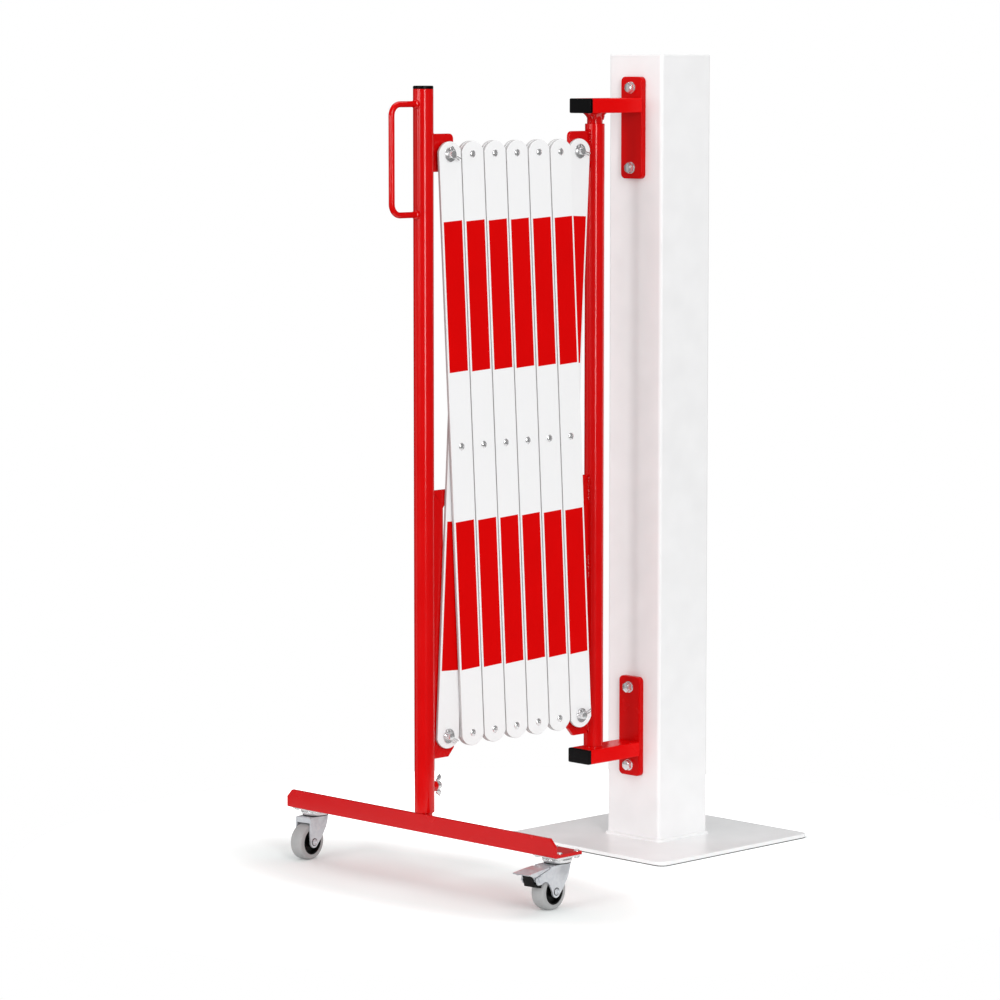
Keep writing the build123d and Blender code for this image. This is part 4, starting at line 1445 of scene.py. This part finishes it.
@dataclass
class RollingPost:
    """Post at the moving end: its cap, its pull handle, and the wing screw that locks the foot."""

    body: str = "rolling_post"
    rod: float = 4 * MM
    bend: float = 15 * MM
    plug: float = 10.6 * MM
    cap_rim: float = 1.6 * MM
    toe: tuple[float, float] = (6.6 * MM, 6.2 * MM)
    toe_uneven: float = 0.02
    screw_thread: float = 4 * MM

    def dress(self) -> None:
        """Make every piece that only this post has."""
        self.cap()
        self.handle()
        self.wing_screw()
        eased("weld_nut", RED_COAT, edge=0.5 * MM)

    def cap(self) -> None:
        """Plastic disc with a rounded rim, and its plug inside the tube."""
        span, tube = Span.of("rolling_tube_cap"), Span.of("rolling_tube")
        radius, base, top = span.size[0] / 2, tube.high[2], span.high[2]
        plug, rim = self.plug, self.cap_rim
        profile = np.vstack([
            millimetres((-0.6, 0), (0, 1)) + (plug, span.low[2]),
            [(plug, base), (radius, base)],
            arc((radius - rim, top - rim), rim, 0, QUARTER_TURN, 5),
            millimetres((4, 0), (3, -0.3)) + (0, top),
        ])
        skin = Skin().turn(Seat.facing(Facing.Z, (span.centre[0], 0, 0)), profile)
        skin.build("rolling_tube_cap_moulding", BLACK_PLASTIC, self.body, ("rolling_tube_cap",))

    def handle(self) -> None:
        """Bent rod between two weld toes.

        The rod follows two straight legs, two quarter-circle bends and one long grip. Each toe is
        a rough half ball on the tube: at an angle a its radius is t * cos a at a distance of
        d * sin a along the leg.
        """
        span = Span.of("pull_handle")
        tube = Span.of("rolling_tube")
        hidden, run_out, toe_root, toe_sunk = 8 * MM, 2 * MM, 2.5 * MM, 0.8 * MM
        start = tube.centre[0] - hidden
        grip, bend = span.low[0] + self.rod, self.bend
        high, low = span.high[2] - self.rod, span.low[2] + self.rod
        centre_x = grip + bend
        straight = centre_x + run_out
        upper = arc((centre_x, high - bend), bend, QUARTER_TURN, math.pi, 10)
        lower = arc((centre_x, low + bend), bend, math.pi, 3 * QUARTER_TURN, 10)
        lengths = np.linspace(0, 1, 7)[1:-1, None]
        grip_line = upper[-1] + (lower[0] - upper[-1]) * lengths
        legs = np.array([(start, high), (straight, high), (straight, low), (start, low)])
        path = np.vstack([legs[:2], upper, grip_line, lower, legs[2:]])
        skin = Skin().add(Seat.facing(Facing.Y).place(pipe(path, self.rod, 24)))
        angle = np.linspace(0, math.radians(72), 9)
        radius, rise = self.toe
        ball = np.column_stack([radius * np.cos(angle), rise * np.sin(angle)])
        profile = np.vstack([[(radius, -toe_root)], ball])
        outward = np.array([(0, 1, 0), (0, 0, 1), (-1, 0, 0)])
        for z, seed in ((high, 3), (low, 4)):
            rings = lathe(profile, 28)
            noise = np.random.default_rng(seed).normal(0, self.toe_uneven, rings.shape[:2])
            rings[..., :2] *= 1 + noise[..., None]
            skin.add(Seat(np.array((tube.low[0] + toe_sunk, 0.0, z)), outward).place(rings))
        skin.build("pull_handle_steel", RED_COAT, self.body, ("pull_handle",))

    def wing_screw(self) -> None:
        """Turned hub and shank with two swept wings.

        A wing's section is an ellipse. At a share s of the wing's length it stands sweep * s ** 1.6
        farther out, its half width is (root + belly * sin(pi * s) ** 1.5) * e and its half thickness
        is (hub - thinning * s) * e, where e is the height of an ellipse that rounds both ends.
        """
        span = Span.of("wing_screw")
        height = float(joint_place("wing_screw_turn")[2])
        nut = Span.of("weld_nut").high[0]
        seat = Seat.facing(Facing.X, (0, 0, height))
        start, stop = nut + 0.6 * MM, nut + 9.1 * MM
        thread, cut = self.screw_thread, 0.8 * MM
        shank = [(thread - cut, span.low[0]), (thread, span.low[0] + cut), (thread, start)]
        shoulder = millimetres((6.2, 0), (6.2, 1.2)) + (0, start)
        crown = millimetres((5.0, -0.8), (4.2, 0), (2.2, 0), (1.8, -0.8)) + (0, stop)
        skin = Skin().turn(seat, np.vstack([shank, shoulder, crown]), 40)
        root, belly, hub, thinning = 2.2 * MM, 2.9 * MM, 1.9 * MM, 0.5 * MM
        away, sweep, low_end, short = 4.4 * MM, 3.6 * MM, 3.5 * MM, 3.9 * MM
        widest, half_span, least_end = 0.45, 0.56, 0.004
        path = np.linspace(0, 1, 15)
        angle = even_turn(18)
        ends = np.sqrt(np.clip(1 - ((path - widest) / half_span) ** 2, least_end, 1))
        out = start + away + sweep * path ** 1.6
        wide = (root + belly * np.sin(math.pi * path) ** 1.5) * ends
        thick = (hub - thinning * path) * ends
        across = out[:, None] + wide[:, None] * np.cos(angle)
        depth = thick[:, None] * np.sin(angle)
        for up in (1, -1):
            rise = up * (low_end + (span.size[2] / 2 - short) * path)
            rings = np.stack([across, depth, np.broadcast_to(rise[:, None], across.shape)], -1)
            skin.add(rings + (0, 0, height))
        skin.build("wing_screw_zinc", BRIGHT_ZINC, "wing_screw", ("wing_screw",))


@dataclass
class Foot:
    """Angle-section foot with its spigot and the castors' bolts."""

    body: str = "foot"
    bolt_spread: tuple[float, float] = (15.9 * MM, 19.5 * MM)
    head: float = 4.2 * MM
    dome: float = 2.0 * MM
    nut: float = 2.7 * MM
    nut_across: float = 8 * MM
    thread_end: float = 0.6 * MM
    thread: float = 2.5 * MM

    def dress(self) -> None:
        """Make every piece of the foot."""
        eased("foot_angle", FOOT_COAT, edge=0.5 * MM)
        self.spigot()
        self.bolts()

    def spigot(self) -> None:
        """Peg that slides in the rolling tube, with chamfered ends."""
        span = Span.of("foot_spigot")
        radius, cut = span.size[0] / 2, 1.5 * MM
        low, high = span.low[2], span.high[2]
        profile = [(radius - cut, low), (radius, low + cut), (radius, high - cut), (radius - cut, high)]
        skin = Skin().turn(Seat.facing(Facing.Z, (span.centre[0], 0, 0)), profile)
        skin.build("foot_spigot_steel", RED_COAT, self.body, ("foot_spigot",))

    def bolts(self) -> None:
        """Eight bolts with a low round head on the deck and a thin nut under the castors' plates.

        At an angle a the head's radius is h * cos a at a height of d * sin a.
        """
        skin = Skin()
        span = Span.of("castor_bolts")
        low, deck = span.low[2], span.high[2] - self.dome
        angle = np.linspace(0, math.radians(80), 8)
        crown = np.column_stack([self.head * np.cos(angle), deck + self.dome * np.sin(angle)])
        under, cut, sunk = low + self.thread_end, 0.4 * MM, 0.5 * MM
        head = np.vstack([[(self.head, deck - sunk)], crown])
        nut = hexagon(self.nut_across, under, under + self.nut, (True, True))
        thread = [(self.thread - cut, low), (self.thread, low + cut), (self.thread, deck)]
        across, along = self.bolt_spread
        for castor in ("front", "back"):
            x, y, _ = Span.of(f"{castor}_castor_head").centre
            for place in ((across, along), (across, -along), (-across, along), (-across, -along)):
                seat = Seat.facing(Facing.Z, (x + place[0], y + place[1], 0))
                skin.turn(seat, head, 32).add(seat.place(nut)).turn(seat, thread, 24)
        skin.build("castor_bolts_zinc", BRIGHT_ZINC, self.body, ("castor_bolts",))


@dataclass
class Castor:
    """One swivel castor: plate and ball cup, fork, axle, wheel, and on the front one a brake."""

    which: str
    wheel: float = 25 * MM
    core: float = 17.8 * MM
    tyre_half: float = 10.3 * MM
    plate: float = 2.5 * MM
    cup: tuple[float, float] = (17.4 * MM, 2.8 * MM)
    cup_low: float = 60.6 * MM
    # Black ring in the gap under the ball cup: painted shade.
    painted_shade: tuple[float, float] = (16.6 * MM, 17.7 * MM)
    pin: tuple[float, float] = (7.0 * MM, 56.8 * MM)
    neck: tuple[float, float] = (4.0 * MM, 61.0 * MM)
    axle_half: float = 14.9 * MM

    def dress(self) -> None:
        """Make every piece of the castor."""
        self.head()
        eased(f"{self.which}_castor_fork", CASTOR_ZINC, edge=0.55 * MM)
        self.axle()
        self.tyre()
        self.wheel_core()
        if self.which == "front":
            eased("brake_pedal", CASTOR_ZINC, edge=0.4 * MM)
            eased("brake_shoe", BLACK_PLASTIC, edge=0.5 * MM)

    def axle_seat(self) -> Seat:
        """Seat at the wheel's centre whose third axis is the axle."""
        row = joint(f"{self.which}_wheel_roll")
        axle = unit(np.array(row["axis"], float))
        ahead = np.cross(axle, (0, 0, 1))
        return Seat(np.array(row["pos_m"]), np.array([ahead, (0, 0, 1), axle]))

    def head(self) -> None:
        """Top plate with rounded corners and the turned ball cup under it, and a black ring under the cup
        that paints the shade in the gap above the fork.
        """
        node = f"{self.which}_castor_head"
        span = Span.of(node)
        top = span.high[2]
        under = top - self.plate
        seat = Seat.facing(Facing.Z, (span.centre[0], span.centre[1], 0))
        outline = rounded_rectangle(span.size[0], span.size[1], 4 * MM)
        skin = Skin().plate(seat, outline, under, top, 0.5 * MM)
        angle = np.linspace(0, math.pi, 13)
        middle, half = (under + self.cup_low) / 2, (under - self.cup_low) / 2
        (cup, bulge), (pin, shoulder), (neck, pin_top) = self.cup, self.pin, self.neck
        wall = np.column_stack([cup + bulge * np.sin(angle), middle - half * np.cos(angle)])
        skin.turn(seat, np.vstack([[(neck, self.cup_low)], wall, [(neck, under)]]))
        foot = span.low[2]
        skin.turn(seat, [
            (3.2 * MM, foot), (pin, foot + 0.6 * MM), (pin, shoulder), (neck, shoulder), (neck, pin_top),
        ])
        skin.build(f"{node}_zinc", BRIGHT_ZINC, "foot", (node,))
        # A black ring in the gap between the cup and the fork's crown paints the shade there.
        (inner, outer), low, high = self.painted_shade, self.cup_low - 1.15 * MM, self.cup_low + 0.3 * MM
        skin = Skin().turn(seat, ring(inner, outer, low, high), looped=True)
        skin.build(f"{self.which}_castor_painted_shade", BLACK_CORE_AND_SHADE, "foot")

    def axle(self) -> None:
        """Axle rivet with a hollow, rolled head at each end, and a thin black ring under each head that
        paints the shade in the gap to the fork.
        """
        half = millimetres(
            (0.9, 1.1), (2.0, 1.0), (2.5, 0.2), (2.9, 0.0), (3.7, 0.15), (4.3, 0.8), (4.3, 1.4), (3.0, 1.4),
        ) - (0, self.axle_half)
        node, body = f"{self.which}_castor_axle", f"{self.which}_castor"
        skin = Skin().turn(self.axle_seat(), mirrored(half), 40)
        skin.build(f"{node}_zinc", CASTOR_ZINC, body, (node,))
        # Thin black rings under the axle's heads paint the shade in the gap between head and fork.
        skin = Skin()
        for side in (1, -1):
            painted_shade = ring(4.2 * MM, 5.3 * MM, side * 13.45 * MM, side * 13.75 * MM)
            skin.turn(self.axle_seat(), painted_shade, 40, looped=True)
        skin.build(f"{self.which}_axle_painted_shade", BLACK_CORE_AND_SHADE, body)

    def tyre(self) -> None:
        """Rubber tyre: a rounded shoulder, a slightly crowned tread and a moulding line at its middle.

        The tread's section is a superellipse, r = core + depth * |sin a| ** p and
        y = half * cos a * |cos a| ** (p - 1), with p a little under a half.
        """
        angle = np.linspace(0, math.pi, 41)
        power, ridge_height, ridge_width, worn = 0.46, 0.12 * MM, 0.35 * MM, 0.15 * MM
        depth = self.wheel - self.core
        radius = self.core + depth * np.sin(angle) ** power
        side = self.tyre_half * np.sign(np.cos(angle)) * np.abs(np.cos(angle)) ** power
        ridge = ridge_height * np.exp(-((side / ridge_width) ** 2))
        profile = np.column_stack([np.minimum(radius - worn + ridge, self.wheel), side])
        node = f"{self.which}_wheel_tyre"
        skin = Skin().turn(self.axle_seat(), profile, 112, looped=True)
        skin.build(f"{node}_rubber", GREY_RUBBER, f"{self.which}_wheel", (node,))

    def wheel_core(self) -> None:
        """Plastic core: rim, dished web with two raised rings, and hub, the same on both sides."""
        half = millimetres(
            (3.05, 10.7), (6.4, 10.7), (7.0, 10.1), (7.6, 5.5), (11.0, 5.5), (11.3, 6.0), (11.9, 6.0),
            (12.2, 5.5), (13.4, 5.6), (13.7, 6.1), (14.1, 6.1), (14.6, 6.2), (15.3, 9.4), (15.8, 9.9),
            (17.4, 9.9), (17.8, 9.6),
        )
        node = f"{self.which}_wheel_core"
        skin = Skin().turn(self.axle_seat(), mirrored(half), 72, looped=True)
        skin.build(f"{node}_moulding", BLACK_CORE_AND_SHADE, f"{self.which}_wheel", (node,))


# --------------------------------------------------------------------------- studio
@dataclass(frozen=True)
class SoftLight:
    """Rectangular studio lamp that faces a point of the object."""

    name: str
    azimuth: float
    height: float
    distance: float
    size: tuple[float, float]
    watts: float
    aim: tuple[float, float, float]
    mirrored: bool = True
    shining: bool = True

    def place(self) -> None:
        """Stand the lamp at its azimuth round the aim, at its own height, and turn it to the aim."""
        angle = math.radians(self.azimuth)
        spot = np.array((
            self.aim[0] + self.distance * math.sin(angle),
            self.aim[1] - self.distance * math.cos(angle),
            self.height,
        ))
        lamp = bpy.data.lights.new(self.name, "AREA")
        lamp.shape = "RECTANGLE"
        lamp.size, lamp.size_y = self.size
        lamp.energy = self.watts
        lamp_object = bpy.data.objects.new(self.name, lamp)
        bpy.context.scene.collection.objects.link(lamp_object)
        lamp_object.visible_glossy = self.mirrored
        lamp_object.visible_diffuse = self.shining
        look = Vector(np.array(self.aim) - spot)
        lamp_object.location = spot
        lamp_object.rotation_euler = look.to_track_quat("-Z", "Y").to_euler()


@dataclass
class Studio:
    """Camera, lamps, white surroundings and a white floor that keeps soft shadows and has painted shade round
    the foot and the base plate.
    """

    camera_place: tuple[float, float, float] = (-4.15038, -3.87865, 1.10517)
    camera_azimuth: float = -44.7
    camera_drop: float = 6.29
    lens: float = 146.67
    sensor: float = 36.0
    floor_centre: tuple[float, float] = (-0.24, 0.0)
    floor_radius: float = 0.72
    floor_points: int = 96
    floor_colour: Colour = (0.86, 0.885, 0.88)
    # The floor's glow is low round the foot's rest place and along the base plate: painted shade.
    shade_zone_glow: float = 0.10
    glow_reach: tuple[float, float] = (0.7, 1.9)
    shade_zone_middle: tuple[float, float] = (-0.44, 0.0)
    shade_zone_reach: tuple[float, float] = (0.16, 0.40)
    base_shade: float = 0.012
    ambient: float = 0.50
    mirrored: float = 0.05

    def dress(self) -> None:
        """Set up everything that isn't part of the object."""
        self.camera()
        self.world()
        self.floor()
        for lamp in self.lamps():
            lamp.place()
        bpy.context.scene.view_settings.view_transform = "Standard"

    def camera(self) -> None:
        """Long lens, slightly above the object."""
        data = bpy.data.cameras.new("camera")
        data.lens, data.sensor_width = self.lens, self.sensor
        eye = bpy.data.objects.new("camera", data)
        bpy.context.scene.collection.objects.link(eye)
        eye.location = self.camera_place
        eye.rotation_euler = (math.radians(90 - self.camera_drop), 0, math.radians(self.camera_azimuth))
        bpy.context.scene.camera = eye

    def lamps(self) -> list[SoftLight]:
        """Overhead box, a tall strip, a wide box, fills and a card, clear of the opened barrier."""
        aim = (-0.3, 0.0)
        return [
            SoftLight("overhead", 120, 3.0, 0.6, (2.2, 2.2), 21, (*aim, 0.0)),
            SoftLight("strip_right", -27, 2.2, 4.4, (0.7, 4.2), 88, (*aim, 1.30)),
            SoftLight("box_left", -97, 1.36, 12.0, (7.5, 1.2), 156, (*aim, 1.20)),
            SoftLight("fill_right", 8, 3.5, 7.5, (6.0, 5.0), 94, (*aim, 1.0), mirrored=False),
            SoftLight("side_left", -92, 3.9, 12.0, (4.0, 8.0), 400, (*aim, 0.9), mirrored=False),
            SoftLight("back_right", 75, 2.1, 7.5, (2.0, 5.5), 56, (*aim, 1.1), mirrored=False),
            SoftLight("back_left", 175, 2.1, 7.5, (2.0, 5.5), 56, (*aim, 1.1), mirrored=False),
            SoftLight("card_left", -140, 0.8, 2.5, (1.1, 2.2), 2.6, (*aim, 0.7), shining=False),
        ]

    def world(self) -> None:
        """White to the camera, soft light on the object, and dark in its reflections."""
        world = bpy.data.worlds.new("surroundings")
        bpy.context.scene.world = world
        world.use_nodes = True
        tree = world.node_tree
        path = tree.nodes.new("ShaderNodeLightPath")
        seen = tree.nodes.new("ShaderNodeMapRange")
        seen.inputs[3].default_value, seen.inputs[4].default_value = self.ambient, 1.0
        shine = tree.nodes.new("ShaderNodeMapRange")
        shine.inputs[4].default_value = self.mirrored
        tree.links.new(path.outputs["Is Camera Ray"], seen.inputs[0])
        tree.links.new(path.outputs["Is Glossy Ray"], shine.inputs[0])
        tree.links.new(seen.outputs[0], shine.inputs[3])
        tree.links.new(shine.outputs[0], tree.nodes["Background"].inputs["Strength"])
        tree.nodes["Background"].inputs["Color"].default_value = (1, 1, 1, 1)

    def floor(self) -> None:
        """Pale disc under the object, with a glow that only the camera sees.

        The glow is low within a few millimetres of the base plate, which paints a dark contact shade
        along its edges. Elsewhere it grows with d = ((x / reach_x) ** 2 + (y / reach_y) ** 2) ** 0.5 from
        the foot's middle at rest, as a smooth step, so that the floor keeps its real shadows under the
        foot, carries painted grey shade round the foot's rest place, and is plain white farther away.
        """
        edge = lathe(np.array([(self.floor_radius, 0.0)]), self.floor_points)[0] + (*self.floor_centre, 0.0)
        mesh = bpy.data.meshes.new("floor")
        mesh.from_pydata(edge.tolist(), [], [list(range(len(edge)))])
        shader = Shader("floor_white")
        shader.set(Base_Color=(*self.floor_colour, 1.0), Roughness=0.9, Specular_IOR_Level=0.0)
        ray = shader.node("ShaderNodeLightPath", output="Is Camera Ray")
        scaled = shader.node(
            "ShaderNodeMapping", {"vector_type": "TEXTURE"},
            {0: shader.place(), 1: (*self.shade_zone_middle, 0.0), 3: (*self.shade_zone_reach, 1.0)}, output=0,
        )
        middle = shader.node("ShaderNodeVectorMath", {"operation": "LENGTH"}, {0: scaled}, output=1)
        x, y, _ = shader.parts(shader.place())
        half = Span.of("base_plate").size[0] / 2
        side = (abs(x) - half).at_least(abs(y) - half)
        # Low glow near the foot's rest place and the base plate paints grey shade on the floor.
        grown = middle.step(*self.glow_reach) * side.step(0.0, self.base_shade)
        glow = self.shade_zone_glow + (1 - self.shade_zone_glow) * grown
        shader.set(
            Emission_Color=shader.blend(ray * glow, (0.0, 0.0, 0.0), (1.0, 1.0, 1.0)),
            Emission_Strength=1.0,
        )
        mesh.materials.append(shader.material)
        floor = bpy.data.objects.new("floor", mesh)
        bpy.context.scene.collection.objects.link(floor)


def main() -> None:
    """Build the studio and every sub-assembly in order."""
    logging.basicConfig(level=logging.INFO, format="%(name)s %(message)s")
    Studio().dress()
    FixedPost().dress()
    PinTube("pivot_tube", "pivot_post", -1).dress()
    Lattice().dress()
    PinTube("rolling_tube", "rolling_post", 1).dress()
    RollingPost().dress()
    Foot().dress()
    for which in ("front", "back"):
        Castor(which).dress()


if __name__ == "__main__":
    main()
